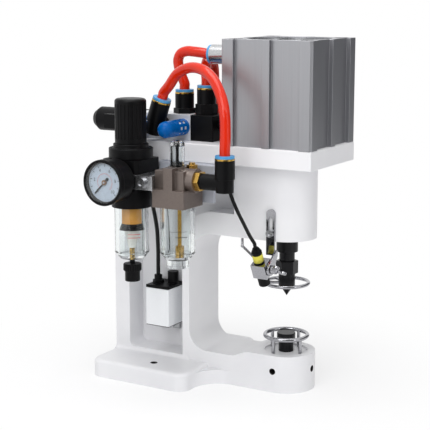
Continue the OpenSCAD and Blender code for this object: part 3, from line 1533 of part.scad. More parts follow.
module lamp_cable() color(black) sweep(lamp_route, lamp_cable_d, 8, 2);

frame_casting();
top_plate();
cap_screws();
cylinder_barrel();
cylinder_cover();
rod_cover();
retaining_rings();
cylinder_bolts();
piston();
piston_seal();
piston_rod();
guide_bush();
ram();
lock_nut();
upper_die();
upper_guard_ring();
lower_die();
lower_guard_ring();
set_screws();
air_unit_bracket();
module_clamp();
regulator_body();
regulator_bonnet();
adjusting_screw();
regulator_knob();
gauge_case();
gauge_dial();
gauge_needle();
gauge_lens();
filter_bowl();
filter_element();
filter_baffle();
drain_knob();
lubricator_body();
sight_dome();
oil_screw();
filler_plug();
lubricator_bowl();
siphon_tube();
outlet_nipple();
valve_body();
valve_end_cap();
valve_spool();
valve_coil();
override_button();
silencers();
elbow_fittings();
straight_fittings();
release_collars();
supply_tube();
advance_tube();
return_tube();
junction_box();
box_lid();
coil_cable();
lamp_bar();
wing_screw();
lamp_clamp();
lamp_body();
lamp_cable();
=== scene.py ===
# %% [markdown]
# # A pneumatic button attaching machine
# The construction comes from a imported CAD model: a cast C-frame, an air cylinder, a guided ram, an air
# preparation unit, a valve and a small lamp. This lesson dresses that model. It keeps every solid in its
# place, rounds the edges that catch the light, lays the tubes, and gives each surface its own finish.

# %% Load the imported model
import json
import math

import bmesh
import bpy
from mathutils import Matrix, Vector
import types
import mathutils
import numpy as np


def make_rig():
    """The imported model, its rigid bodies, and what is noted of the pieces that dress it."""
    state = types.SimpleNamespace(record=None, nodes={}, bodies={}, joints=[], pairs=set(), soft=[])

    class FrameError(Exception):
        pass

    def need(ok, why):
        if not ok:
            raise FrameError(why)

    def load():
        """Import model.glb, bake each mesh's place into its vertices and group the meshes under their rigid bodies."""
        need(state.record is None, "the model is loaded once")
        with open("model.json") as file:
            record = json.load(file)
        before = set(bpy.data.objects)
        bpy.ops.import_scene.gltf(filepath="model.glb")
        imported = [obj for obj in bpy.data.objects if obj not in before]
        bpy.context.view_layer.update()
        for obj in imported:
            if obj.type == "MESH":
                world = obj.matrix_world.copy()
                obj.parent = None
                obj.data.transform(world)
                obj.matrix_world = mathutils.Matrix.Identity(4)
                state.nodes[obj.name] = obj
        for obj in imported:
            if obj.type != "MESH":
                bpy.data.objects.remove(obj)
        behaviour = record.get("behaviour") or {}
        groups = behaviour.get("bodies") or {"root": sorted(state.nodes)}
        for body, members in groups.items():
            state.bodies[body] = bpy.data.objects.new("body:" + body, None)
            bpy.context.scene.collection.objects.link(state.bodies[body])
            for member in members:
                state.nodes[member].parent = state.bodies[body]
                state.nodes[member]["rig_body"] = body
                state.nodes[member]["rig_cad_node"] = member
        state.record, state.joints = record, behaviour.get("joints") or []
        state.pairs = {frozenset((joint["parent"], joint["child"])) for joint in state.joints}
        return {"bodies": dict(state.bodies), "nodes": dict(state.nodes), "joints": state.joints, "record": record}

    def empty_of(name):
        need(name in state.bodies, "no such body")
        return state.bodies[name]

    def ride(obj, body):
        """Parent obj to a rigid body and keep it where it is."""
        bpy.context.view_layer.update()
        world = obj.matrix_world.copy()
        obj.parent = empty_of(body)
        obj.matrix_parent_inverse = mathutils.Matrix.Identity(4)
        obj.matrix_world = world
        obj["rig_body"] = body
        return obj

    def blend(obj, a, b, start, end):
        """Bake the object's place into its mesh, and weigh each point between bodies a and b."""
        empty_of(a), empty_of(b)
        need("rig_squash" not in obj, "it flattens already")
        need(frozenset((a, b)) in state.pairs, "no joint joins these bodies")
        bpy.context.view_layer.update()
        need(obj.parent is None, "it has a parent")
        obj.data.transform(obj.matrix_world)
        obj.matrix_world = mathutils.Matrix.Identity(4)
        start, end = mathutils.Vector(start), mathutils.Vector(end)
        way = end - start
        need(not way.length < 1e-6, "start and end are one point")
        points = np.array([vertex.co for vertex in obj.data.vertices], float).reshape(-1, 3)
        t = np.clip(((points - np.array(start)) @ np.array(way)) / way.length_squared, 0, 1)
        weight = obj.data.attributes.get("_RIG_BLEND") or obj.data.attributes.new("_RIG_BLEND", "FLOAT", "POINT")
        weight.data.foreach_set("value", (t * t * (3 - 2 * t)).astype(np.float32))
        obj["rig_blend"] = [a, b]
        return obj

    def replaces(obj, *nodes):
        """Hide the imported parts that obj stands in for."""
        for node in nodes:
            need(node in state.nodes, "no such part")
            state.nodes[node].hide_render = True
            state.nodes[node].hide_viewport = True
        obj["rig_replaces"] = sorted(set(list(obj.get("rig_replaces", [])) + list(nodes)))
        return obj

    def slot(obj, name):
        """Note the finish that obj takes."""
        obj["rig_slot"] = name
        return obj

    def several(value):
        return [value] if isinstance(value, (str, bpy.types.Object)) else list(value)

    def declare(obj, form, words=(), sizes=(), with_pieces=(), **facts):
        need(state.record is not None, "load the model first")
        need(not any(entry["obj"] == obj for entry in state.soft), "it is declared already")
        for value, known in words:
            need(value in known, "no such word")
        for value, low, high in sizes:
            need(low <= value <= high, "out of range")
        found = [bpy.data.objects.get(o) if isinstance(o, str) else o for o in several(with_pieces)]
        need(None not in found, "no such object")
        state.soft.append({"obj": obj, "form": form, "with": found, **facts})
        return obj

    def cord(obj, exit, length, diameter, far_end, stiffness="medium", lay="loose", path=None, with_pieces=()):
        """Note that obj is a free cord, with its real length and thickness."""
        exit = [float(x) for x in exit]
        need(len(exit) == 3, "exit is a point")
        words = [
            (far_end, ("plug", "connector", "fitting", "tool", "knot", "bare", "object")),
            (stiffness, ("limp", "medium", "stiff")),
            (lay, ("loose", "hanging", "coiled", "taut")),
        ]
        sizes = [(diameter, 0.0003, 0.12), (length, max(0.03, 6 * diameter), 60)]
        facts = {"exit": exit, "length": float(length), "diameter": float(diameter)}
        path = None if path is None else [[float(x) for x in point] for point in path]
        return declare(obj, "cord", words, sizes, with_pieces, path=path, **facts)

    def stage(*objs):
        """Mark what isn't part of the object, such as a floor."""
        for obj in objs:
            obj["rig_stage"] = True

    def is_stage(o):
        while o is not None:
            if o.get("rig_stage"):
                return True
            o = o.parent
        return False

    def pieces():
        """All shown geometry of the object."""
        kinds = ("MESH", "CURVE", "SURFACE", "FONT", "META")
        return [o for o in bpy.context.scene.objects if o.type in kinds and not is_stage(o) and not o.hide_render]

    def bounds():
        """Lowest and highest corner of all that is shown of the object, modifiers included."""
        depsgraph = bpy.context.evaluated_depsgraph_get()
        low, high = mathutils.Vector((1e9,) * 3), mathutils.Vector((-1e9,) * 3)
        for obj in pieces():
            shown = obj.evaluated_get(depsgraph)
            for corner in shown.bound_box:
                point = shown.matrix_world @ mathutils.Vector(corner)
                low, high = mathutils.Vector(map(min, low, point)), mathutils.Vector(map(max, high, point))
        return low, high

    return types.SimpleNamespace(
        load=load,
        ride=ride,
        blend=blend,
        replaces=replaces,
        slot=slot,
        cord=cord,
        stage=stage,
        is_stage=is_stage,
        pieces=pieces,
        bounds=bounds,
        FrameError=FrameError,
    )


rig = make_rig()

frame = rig.load()
cad_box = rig.bounds()
nodes = frame["nodes"]
MM = 0.001
print("nodes", len(nodes), "bodies", len(frame["bodies"]))


def mm(x, y, z):
    """A point given in millimetres, in metres."""
    return Vector((x, y, z)) * MM


# %% [markdown]
# ## Camera
# The camera stands where the photograph was taken from. Its distance and lens were worked out from the corners
# of the square cylinder, whose width is known, so the picture has the same perspective.

# %% Camera
scene = bpy.context.scene
scene.view_settings.view_transform = "Standard"
AZIMUTH, ELEVATION = math.radians(-59.187), math.radians(10.648)
CAMERA_PLACE = (-1.00773, -0.51998, 0.38268)
SENSOR_MM, LENS_MM = 36.0, 100.465
camera_back = Vector((math.sin(AZIMUTH) * math.cos(ELEVATION), -math.cos(AZIMUTH) * math.cos(ELEVATION),
                      math.sin(ELEVATION)))
camera = bpy.data.objects.new("camera", bpy.data.cameras.new("camera"))
camera.data.sensor_width = SENSOR_MM
camera.data.lens = LENS_MM
camera.location = CAMERA_PLACE
camera.rotation_euler = (-camera_back).to_track_quat("-Z", "Y").to_euler()
scene.collection.objects.link(camera)
scene.camera = camera
print("camera at", [round(v, 3) for v in camera.location])

# %% [markdown]
# ## Routes of the tubes and cables
# The red tubes are stiff polyurethane hose and the black ones thin cable. A smooth curve through a few
# points is enough, and the same curve is used in the solids, so both lie in the same place. The first and
# last points stand on the fitting's axis, so each tube leaves its fitting straight.

# %% Route points
INLET_LEAN, LAMP_LEAN = math.radians(19), math.radians(26)
LAMP_REACH = 23.5 * MM
inlet_axis = Vector((0, -math.sin(INLET_LEAN), math.cos(INLET_LEAN)))
inlet_knee = mm(-46, 121.5, 254)
lamp_axis = Vector((-math.sin(LAMP_LEAN), 0, math.cos(LAMP_LEAN)))
lamp_pivot = mm(-41, 6.6, 125)
lamp_top = lamp_pivot + LAMP_REACH * lamp_axis

supply_points = [inlet_knee + reach * MM * inlet_axis for reach in (11.6, 29.7, 33.7)] + [
    mm(-48, 103, 293), mm(-51, 92.5, 304), mm(-55, 79.5, 310), mm(-59, 67, 311.5), mm(-64, 53.5, 309),
    mm(-69, 42, 302.5), mm(-73, 33.5, 293), mm(-76.5, 27, 282), mm(-79, 23.5, 269), mm(-80, 22.5, 254),
    mm(-80, 23, 240.6), mm(-80, 23, 236.6), mm(-80, 23, 218.5)]
advance_points = [
    mm(-16, 106, 270.6), mm(-16, 106, 288.7), mm(-16, 106, 292.7), mm(-16.5, 109, 300), mm(-16.5, 112, 308),
    mm(-17, 112.5, 315.5), mm(-17.5, 109, 321.5), mm(-18, 102, 324), mm(-18, 94, 323.8), mm(-18, 84.7, 323),
    mm(-18, 76.7, 322), mm(-18, 58.6, 322)]
return_points = [
    mm(-16, 81, 275.6), mm(-16, 81, 293.7), mm(-16, 81, 297.7), mm(-14, 83, 306), mm(-9, 85.5, 312.5),
    mm(-1, 88, 316), mm(8, 90, 314.5), mm(15, 91.5, 307.5), mm(18, 92.5, 296), mm(18, 92.5, 283),
    mm(18, 91.5, 274), mm(18, 87, 266), mm(18, 80.7, 263), mm(18, 76.7, 263), mm(18, 58.6, 263)]
coil_points = [
    mm(-20, 136, 99), mm(-20, 136, 110), mm(-23, 134, 126), mm(-31, 130, 150), mm(-43, 127, 176),
    mm(-51, 128, 200), mm(-53.5, 131, 218), mm(-52.5, 134, 234), mm(-49.5, 140, 241.6), mm(-44, 150, 242),
    mm(-38, 159, 246), mm(-33, 168, 253.5), mm(-33, 173, 253.5)]
lamp_points = [
    mm(-39, 43.5, 220.95), mm(-39, 43.5, 218), mm(-39, 43.5, 215), mm(-40.5, 42.5, 206), mm(-44, 38, 194),
    mm(-47, 29.5, 180), mm(-50, 20, 167.5), mm(-53, 11.5, 157), lamp_top + 6 * MM * lamp_axis,
    lamp_top + 3 * MM * lamp_axis, lamp_top + 0.05 * MM * lamp_axis]
ROUTE_STEPS = 8
LAMP_JOIN = 5  # the point of its route where the lamp cable's two pieces meet


def smooth_route(points):
    """A Catmull-Rom curve through the points, with its ends repeated."""
    ends = [points[0], *points, points[-1]]
    path = []
    for a, b, c, d in zip(ends, ends[1:], ends[2:], ends[3:]):
        for k in range(ROUTE_STEPS):
            t = k / ROUTE_STEPS
            path.append(0.5 * (2 * b + (c - a) * t + (2 * a - 5 * b + 4 * c - d) * t * t
                               + (3 * b - a - 3 * c + d) * t ** 3))
    return path + [points[-1]]


def route_length(path):
    """The length of a path along its points."""
    return sum((b - a).length for a, b in zip(path, path[1:]))


# %% [markdown]
# ## Tubes and cables
# A tube is a ring of points carried along its route without twisting. Building it in mesh code gives clean
# ends and a UV map whose second coordinate is the distance along the tube, so that its finish can follow it.

# %% Lay the cords
def tube_piece(name, path, diameter, sides=24):
    """A closed tube round a path, with UVs in metres: round it, and along it."""
    mesh = bpy.data.meshes.new(name)
    bm = bmesh.new()
    uv = bm.loops.layers.uv.new("along")
    turns = [2 * math.pi * k / sides for k in range(sides)]
    width = math.pi * diameter / sides
    side = Vector((1, 0.02, 0.01))  # any direction that no route starts along
    rings, run = [], 0.0
    for i, centre in enumerate(path):
        tangent = (path[min(i + 1, len(path) - 1)] - path[max(i - 1, 0)]).normalized()
        side = (side - side.dot(tangent) * tangent).normalized()
        up = tangent.cross(side)
        run += (centre - path[i - 1]).length if i else 0.0
        rings.append((run, [bm.verts.new(centre + diameter / 2 * (math.cos(a) * side + math.sin(a) * up))
                            for a in turns]))
    for (v0, low), (v1, high) in zip(rings, rings[1:]):
        for k in range(sides):
            n = (k + 1) % sides
            face = bm.faces.new((low[k], low[n], high[n], high[k]))
            face.smooth = True
            for loop, (u, v) in zip(face.loops, ((k, v0), (k + 1, v0), (k + 1, v1), (k, v1))):
                loop[uv].uv = (u * width, v)
    bm.faces.new(list(reversed(rings[0][1])))
    bm.faces.new(rings[-1][1])
    bm.normal_update()
    bm.to_mesh(mesh)
    bm.free()
    piece = bpy.data.objects.new(name, mesh)
    scene.collection.objects.link(piece)
    return piece


TUBE, COIL_CABLE, LAMP_CABLE = 10 * MM, 4 * MM, 3.4 * MM
cords = {}
for name, points, diameter, slot, stiffness in (
        ("supply_tube", supply_points, TUBE, "red_tube", "stiff"),
        ("advance_tube", advance_points, TUBE, "red_tube", "stiff"),
        ("return_tube", return_points, TUBE, "red_tube", "stiff"),
        ("coil_cable", coil_points, COIL_CABLE, "black_rubber", "medium")):
    path = smooth_route(points)
    piece = cords[name] = tube_piece(name + "_laid", path, diameter)
    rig.ride(piece, "press")
    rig.replaces(piece, name)
    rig.slot(piece, slot)
    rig.cord(piece, exit=path[0], length=round(route_length(path), 4), diameter=diameter, far_end="object",
            stiffness=stiffness, lay="taut", path=path)
    print(name, "length", round(route_length(path), 4), "m")

# %% [markdown]
# The lamp's cable crosses two joints: the bar that slides on the head, and the tilt of the lamp. A piece can
# bend across one joint only, so the cable is two pieces that meet where both follow the bar.

# %% Lay the lamp cable
lamp_path = smooth_route(lamp_points)
join = LAMP_JOIN * ROUTE_STEPS
for name, path, bodies in (("lamp_cable_upper", lamp_path[:join + 1], ("press", "lamp_arm")),
                           ("lamp_cable_lower", lamp_path[join:], ("lamp_arm", "lamp"))):
    piece = cords[name] = tube_piece(name, path, LAMP_CABLE, sides=16)
    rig.replaces(piece, "lamp_cable")
    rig.slot(piece, "black_rubber")
    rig.blend(piece, *bodies, start=path[4], end=path[-5])
    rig.cord(piece, exit=path[0], length=round(route_length(path), 4), diameter=LAMP_CABLE, far_end="object",
            stiffness="medium", lay="taut", path=path)
    print(name, "length", round(route_length(path), 4), "m")


# %% [markdown]
# ## How a finish is made
# A finish is one Principled shader. Texture nodes in front of it vary the colour, the gloss and the height,
# because no real surface is one flat colour. Every texture reads Object coordinates in metres, so a grain of
# 2000 per metre repeats every half millimetre on each piece.

# %% Finish helper
def srgb(r, g, b):
    """A colour as it is read off a screen, in linear light."""
    return tuple(((v / 255 + 0.055) / 1.055) ** 2.4 if v > 10 else v / 255 / 12.92 for v in (r, g, b)) + (1,)


class Finish:
    """A material whose texture nodes feed one Principled shader."""

    def __init__(self, name, **constants):
        self.material = bpy.data.materials.new(name)
        self.material.use_nodes = True
        self.tree = self.material.node_tree
        self.tree.nodes.clear()
        self.surface = self.tree.nodes.new("ShaderNodeOutputMaterial").inputs["Surface"]
        self.shader = self.tree.nodes.new("ShaderNodeBsdfPrincipled")
        self.tree.links.new(self.shader.outputs["BSDF"], self.surface)
        self.coords = self.tree.nodes.new("ShaderNodeTexCoord")
        for socket, value in constants.items():
            self.shader.inputs[socket.replace("_", " ")].default_value = value

    def node(self, kind, inputs=(), **settings):
        """A new node with its settings made, and its inputs linked or set."""
        made = self.tree.nodes.new(kind)
        for key, value in settings.items():
            setattr(made, key, value)
        for socket, value in dict(inputs).items():
            if isinstance(value, bpy.types.NodeSocket):
                self.tree.links.new(value, made.inputs[socket])
            else:
                made.inputs[socket].default_value = value
        return made

    def noise(self, scale, detail=2.0, stretch=(1, 1, 1), source="Object"):
        """A noise with a number of cells to the metre, longer where stretch is small."""
        where = self.node("ShaderNodeMapping", {"Vector": self.coords.outputs[source], "Scale": stretch})
        return self.node("ShaderNodeTexNoise", {"Vector": where.outputs["Vector"], "Scale": scale,
                                                "Detail": detail}).outputs["Fac"]

    def spread(self, value, low, high, start=0.3, end=0.7):
        """The value from start to end, mapped on low to high."""
        return self.node("ShaderNodeMapRange", {"Value": value, "From Min": start, "From Max": end,
                                                "To Min": low, "To Max": high}).outputs["Result"]

    def mixed(self, share, first, second):
        """Two colours mixed. A Mix node's colours are its inputs 6 and 7 and its output 2."""
        return self.node("ShaderNodeMix", {0: share, 6: first, 7: second}, data_type="RGBA").outputs[2]

    def tone(self, noise, dark, light):
        """A colour that wanders between two tones with a noise."""
        return self.mixed(self.spread(noise, 0, 1), srgb(*dark), srgb(*light))

    def between(self, base, direction, low, high):
        """1 between two distances along a direction from a base point."""
        offset = self.node("ShaderNodeVectorMath", {0: self.coords.outputs["Object"], 1: base},
                           operation="SUBTRACT")
        run = self.node("ShaderNodeVectorMath", {0: offset.outputs[0], 1: direction}, operation="DOT_PRODUCT")
        return self.node("ShaderNodeMath", {0: run.outputs["Value"], 1: (low + high) / 2,
                                            2: (high - low) / 2}, operation="COMPARE").outputs[0]

    def within(self, centre, radius, counted=(1, 1, 1)):
        """1 inside a ball, or inside a cylinder along the direction that isn't counted."""
        flat = self.node("ShaderNodeVectorMath", {0: self.coords.outputs["Object"], 1: counted},
                         operation="MULTIPLY")
        middle = [c * k for c, k in zip(centre, counted)]
        reach = self.node("ShaderNodeVectorMath", {0: flat.outputs[0], 1: middle}, operation="DISTANCE")
        return self.node("ShaderNodeMath", {0: reach.outputs["Value"], 1: radius},
                         operation="LESS_THAN").outputs[0]

    def joined(self, masks, operation):
        """Several masks as one: MULTIPLY keeps where all hold, MAXIMUM where any holds."""
        total = masks[0]
        for mask in masks[1:]:
            total = self.node("ShaderNodeMath", {0: total, 1: mask}, operation=operation).outputs[0]
        return total

    def feed(self, name, socket):
        """Link a socket to an input of the shader."""
        self.tree.links.new(socket, self.shader.inputs[name])

    def colour(self, socket):
        self.feed("Base Color", socket)

    def overlay(self, mask, colour):
        """Another colour where the mask is 1, on top of the one there is."""
        under = self.shader.inputs["Base Color"].links[0].from_socket
        self.colour(self.mixed(mask, under, colour))

    def roughness(self, noise, low, high, start=0.3, end=0.7):
        """A roughness that wanders between two values."""
        self.feed("Roughness", self.spread(noise, low, high, start, end))

    def relief(self, height, depth, strength=1.0, over=None):
        """Bump of a real depth in metres, on top of an earlier one."""
        inputs = {"Height": height, "Distance": depth, "Strength": strength}
        if over is not None:
            inputs["Normal"] = over
        bump = self.node("ShaderNodeBump", inputs).outputs["Normal"]
        self.feed("Normal", bump)
        return bump


finishes = {}
slots = {row["node"]: row["material_slot"] for row in frame["record"]["subparts"]}


def keep(finish, slot=None):
    """File a finish under the slot it serves, or under its own name."""
    finishes[slot or finish.material.name] = finish.material
    print("finish", finish.material.name, "nodes", len(finish.tree.nodes))


# %% [markdown]
# ## Paints
# The casting has a thick white enamel over cast iron: a soft gloss, a fine orange peel, and the slow waves of
# the casting under it. Its drilled holes, found by their place, are bare iron painted near black, which also
# paints the shade inside them. The lubricator has a taupe metallic paint with flakes.

# %% Paints
ORIGIN, UP = (0, 0, 0), (0, 0, 1)
ALONG_X, ALONG_Y, ALONG_Z = (0, 1, 1), (1, 0, 1), (1, 1, 0)
BOLT_HOLES, BOLT_HOLE_R = (mm(-55, 119, 0), mm(55, 119, 0)), 3.7 * MM
SCREW_HOLE, SCREW_HOLE_R, SCREW_HOLE_RUN = mm(0, 0, 21), 3.2 * MM, (8 * MM, 40 * MM)
# near black: bare iron, darkened further to paint the shade inside the holes
BARE_IRON_AND_SHADE = srgb(38, 36, 35)
enamel = Finish("white_enamel", Specular_IOR_Level=0.4, Coat_Weight=0.1, Coat_Roughness=0.2)
bolt_masks = [enamel.within(hole, BOLT_HOLE_R, ALONG_Z) for hole in BOLT_HOLES]
screw_masks = [enamel.joined([enamel.within(SCREW_HOLE, SCREW_HOLE_R, along),
                              enamel.between(ORIGIN, outwards, *SCREW_HOLE_RUN)], "MULTIPLY")
               for along, outwards in ((ALONG_X, (-1, 0, 0)), (ALONG_Y, (0, -1, 0)))]
enamel.colour(enamel.tone(enamel.noise(14, 4), (226, 226, 229), (236, 236, 238)))
# the holes: bare iron painted near black, which also paints the shade inside them
enamel.overlay(enamel.joined(bolt_masks + screw_masks, "MAXIMUM"), BARE_IRON_AND_SHADE)
enamel.roughness(enamel.noise(160, 3), 0.34, 0.46)
peel = enamel.relief(enamel.noise(55, 2), 0.3 * MM, 0.2)
enamel.relief(enamel.noise(900, 2), 0.04 * MM, 0.3, over=peel)
keep(enamel, "white_paint")

taupe = Finish("taupe_metallic", Metallic=0.85)
taupe.colour(taupe.tone(taupe.noise(3500, 1), (112, 102, 97), (134, 123, 117)))
taupe.roughness(taupe.noise(300, 3), 0.34, 0.48)
taupe.relief(taupe.noise(1200, 2), 0.04 * MM, 0.4)
keep(taupe, "taupe_paint")

sheet_grey = Finish("grey_sheet_paint", Metallic=0.25)
sheet_grey.colour(sheet_grey.tone(sheet_grey.noise(60, 4), (172, 176, 186), (188, 192, 201)))
sheet_grey.roughness(sheet_grey.noise(400, 2), 0.38, 0.5)
sheet_grey.relief(sheet_grey.noise(1500, 2), 0.03 * MM, 0.4)
keep(sheet_grey, "grey_steel")

dial_paint = Finish("dial_enamel")
dial_paint.colour(dial_paint.tone(dial_paint.noise(200, 2), (180, 188, 203), (190, 198, 212)))
dial_paint.roughness(dial_paint.noise(900, 2), 0.45, 0.6)
keep(dial_paint, "dial_white")

# %% [markdown]
# ## Metals
# Extruded aluminium carries fine lines along its length, so its noise is stretched along Z. Plated screws and
# chrome are smoother, and brass and blackened steel are turned, so their grain is finer still.


# %% Metals
def metal(name, dark, light, rough, grain, stretch=(1, 1, 1), depth=0.02, metallic=1.0, vary=0.06):
    """A metal with a grain that changes its tone, its gloss and its surface together."""
    made = Finish(name, Metallic=metallic)
    lines = made.noise(grain, 3, stretch)
    made.colour(made.tone(lines, dark, light))
    made.overlay(made.spread(made.noise(35, 3), 0, 0.25), srgb(*dark))
    made.roughness(lines, rough - vary, rough + vary)
    made.relief(lines, depth * MM, 0.5)
    return made


DRAWN = (1, 1, 0.004)
keep(metal("extruded_aluminium", (161, 162, 166), (170, 170, 174), 0.42, 2200, DRAWN, depth=0.001, vary=0.03),
     "alloy")
keep(metal("zinc_steel", (168, 169, 172), (205, 206, 208), 0.28, 1800), "steel")
keep(metal("polished_chrome", (158, 158, 162), (176, 176, 180), 0.08, 900, depth=0.002), "chrome")
keep(metal("black_oxide_steel", (18, 18, 20), (28, 28, 31), 0.36, 1600, depth=0.015, metallic=0.6),
     "black_steel")
keep(metal("turned_brass", (176, 136, 62), (212, 175, 98), 0.26, 2200, depth=0.01), "brass")

# %% [markdown]
# ## Plastics and rubber
# Moulded housings have a fine spark-eroded grain. The tubes are smooth and a little see-through, which shows
# as a soft glow under the gloss. The bowls are clear polycarbonate with real wall thickness, so plain
# refraction is enough. They let light through to what is in them, so they cast next to no shadow.


# %% Plastics and rubber
def moulded(name, dark, light, rough, grain=2600, depth=0.03, **constants):
    """A moulded plastic or rubber with a fine grain."""
    made = Finish(name, **constants)
    made.colour(made.tone(made.noise(45, 4), dark, light))
    made.roughness(made.noise(240, 3), rough - 0.05, rough + 0.07)
    made.relief(made.noise(grain, 2), depth * MM, 0.5)
    return made


keep(moulded("black_moulding", (5, 5, 6), (10, 10, 12), 0.4, Specular_IOR_Level=0.14), "black_plastic")
keep(moulded("blue_moulding", (2, 76, 146), (10, 94, 168), 0.24, 1500, 0.01), "blue_plastic")
keep(moulded("white_moulding", (222, 225, 228), (232, 234, 237), 0.42), "white_plastic")
keep(moulded("black_cable_rubber", (8, 8, 9), (14, 14, 15), 0.55, 1800, 0.02, Specular_IOR_Level=0.2),
     "black_rubber")
keep(moulded("amber_sinter", (234, 160, 68), (250, 184, 94), 0.75, 1100, 0.25), "amber_sinter")
keep(moulded("white_felt", (224, 228, 232), (240, 242, 245), 0.9, 2200, 0.3))
keep(moulded("yellow_tape", (206, 196, 60), (222, 213, 84), 0.35, 900, 0.01))
keep(moulded("black_ink", (16, 16, 18), (26, 26, 28), 0.6, 3000, 0.005))
keep(moulded("red_ink", (190, 48, 40), (206, 62, 52), 0.6, 3000, 0.005))

hose = Finish("red_hose", IOR=1.45, Specular_IOR_Level=0.45, Subsurface_Weight=0.06)
hose.shader.inputs["Subsurface Radius"].default_value = (3 * MM, 0.5 * MM, 0.3 * MM)
hose.shader.inputs["Subsurface Scale"].default_value = 1.0
hose.colour(hose.tone(hose.noise(30, 3, source="UV"), (206, 36, 11), (218, 46, 17)))
hose.roughness(hose.noise(120, 2, source="UV"), 0.09, 0.15)
hose.relief(hose.noise(260, 2, (1, 0.1, 1), source="UV"), 0.02 * MM, 0.25)
keep(hose, "red_tube")

clear = Finish("clear_bowl", Transmission_Weight=1.0, IOR=1.49, Specular_IOR_Level=0.3,
               Base_Color=srgb(243, 247, 247))
clear.roughness(clear.noise(220, 3), 0.02, 0.08)
clear.relief(clear.noise(120, 2), 0.05 * MM, 0.2)
shade = clear.node("ShaderNodeLightPath").outputs["Is Shadow Ray"]
let_through = clear.node("ShaderNodeBsdfTransparent", {"Color": (0.93, 0.95, 0.95, 1)})
lit = clear.node("ShaderNodeMixShader", {0: shade, 1: clear.shader.outputs["BSDF"],
                                         2: let_through.outputs["BSDF"]})
clear.tree.links.new(lit.outputs[0], clear.surface)
keep(clear, "clear_plastic")

# %% [markdown]
# ## Finishes that change along a piece
# A push-in fitting is black with a brass ring under its collar, and the two fittings on the barrel are nickel
# plated. The place of each ring is known from the solids, so a mask finds it: a thin slice across the
# fitting's axis, inside a ball. The drain's stem is brass and its knob black, the baffle ends in a pale cone
# and the box stands on a steel foot, so those three change at a height.


# %% Finishes that change along a piece
def two_tone(name, first, second, rough, metallic, make_mask):
    """A moulding whose masked part has another colour, gloss and metallic share."""
    made = Finish(name, Specular_IOR_Level=0.14)
    mask = make_mask(made)
    grain = made.noise(1800, 2)
    made.colour(made.tone(grain, *first))
    made.overlay(mask, made.tone(grain, *second))
    made.feed("Metallic", made.spread(mask, 0, metallic, 0, 1))
    made.roughness(mask, *rough, 0, 1)
    made.relief(grain, 0.01 * MM, 0.4)
    return made


FITTING_TOPS = [(inlet_knee + 25.6 * MM * inlet_axis, inlet_axis), (mm(-80, 23, 232.5), UP),
                (mm(-16, 106, 284.6), UP), (mm(-16, 81, 289.6), UP)]
RING_REACH, RING_RUN = 12 * MM, (-1.5 * MM, 0.1 * MM)
BARREL_SIDE_X, BARREL_SIDE_Z, FAR = 5 * MM, 305 * MM, 1
CONE_TOP, STEM_FOOT = 157.5 * MM, 129.6 * MM
BLACK, BRASS = ((5, 5, 6), (10, 10, 12)), ((176, 138, 60), (206, 170, 92))
NICKEL, PALE = ((176, 178, 180), (206, 207, 208)), ((222, 220, 214), (236, 234, 229))
BLACK_TO_BRASS = (0.4, 0.25)


def brass_rings(made):
    """The thin ring under the collar of each black fitting."""
    return made.joined([made.joined([made.within(top, RING_REACH), made.between(top, axis, *RING_RUN)],
                                    "MULTIPLY") for top, axis in FITTING_TOPS], "MAXIMUM")


def barrel_side(made):
    """The two fittings on the barrel, beyond the valve's in X or above them in Z."""
    return made.joined([made.between(ORIGIN, (1, 0, 0), BARREL_SIDE_X, FAR),
                        made.between(ORIGIN, UP, BARREL_SIDE_Z, FAR)], "MAXIMUM")


def straight_metal(made):
    """All that is metal on the straight fittings."""
    return made.joined([brass_rings(made), barrel_side(made)], "MAXIMUM")


elbows = two_tone("elbow_moulding", BLACK, BRASS, BLACK_TO_BRASS, 1.0, brass_rings)
straights = two_tone("straight_fitting_plating", BLACK, BRASS, BLACK_TO_BRASS, 1.0, straight_metal)
straights.overlay(barrel_side(straights), straights.tone(straights.noise(1500, 2), *NICKEL))
baffle = two_tone("baffle_and_cone", BLACK, PALE, (0.4, 0.5), 0.0,
                  lambda made: made.between(ORIGIN, UP, 0, CONE_TOP))
drain = two_tone("drain_and_stem", BLACK, BRASS, BLACK_TO_BRASS, 1.0,
                 lambda made: made.between(ORIGIN, UP, STEM_FOOT, FAR))
collars = moulded("pale_blue_collar", (62, 140, 196), (84, 160, 212), 0.3, 1500, 0.01)
valve_paint = metal("valve_anodising", (214, 216, 221), (226, 228, 232), 0.34, 1800, depth=0.006,
                    metallic=0.25)
silencer_blue = moulded("silencer_blue", (0, 82, 156), (4, 98, 174), 0.24, 1500, 0.01,
                        Specular_IOR_Level=0.12)
NEEDLE_HUB, NEEDLE_HUB_R = mm(-123, 126, 208), 2.6 * MM
needle_paint = two_tone("needle_and_hub", BLACK, ((120, 88, 62), (150, 112, 80)), (0.4, 0.3), 0.8,
                        lambda made: made.within(NEEDLE_HUB, NEEDLE_HUB_R, ALONG_X))
cover_grey = metal("cover_anodising", (84, 85, 88), (100, 101, 104), 0.4, 1800, depth=0.006)
BOX_FOOT, BOX_SHADE_BAND = 49 * MM, 0.9 * MM
boxed = two_tone("box_and_steel_foot", ((236, 238, 241), (244, 246, 248)), ((150, 152, 154), (176, 178, 180)),
                 (0.42, 0.3), 0.9, lambda made: made.between(ORIGIN, UP, 0, BOX_FOOT))
# painted shade: a dark band at the bottom of the box, where the gap over its foot lies in shade
boxed.overlay(boxed.between(ORIGIN, UP, BOX_FOOT, BOX_FOOT + BOX_SHADE_BAND), srgb(46, 46, 48))
OWN_FINISH = {"elbow_fittings": elbows, "cylinder_cover": cover_grey, "junction_box": boxed,
              "straight_fittings": straights, "filter_baffle": baffle, "drain_knob": drain,
              "release_collars": collars, "valve_body": valve_paint, "silencers": silencer_blue,
              "gauge_needle": needle_paint}
for finish in OWN_FINISH.values():
    keep(finish)


def finish_of(node):
    """The finish of a solid: its own, or the one of its slot."""
    own = OWN_FINISH.get(node)
    return own.material if own else finishes[slots[node]]


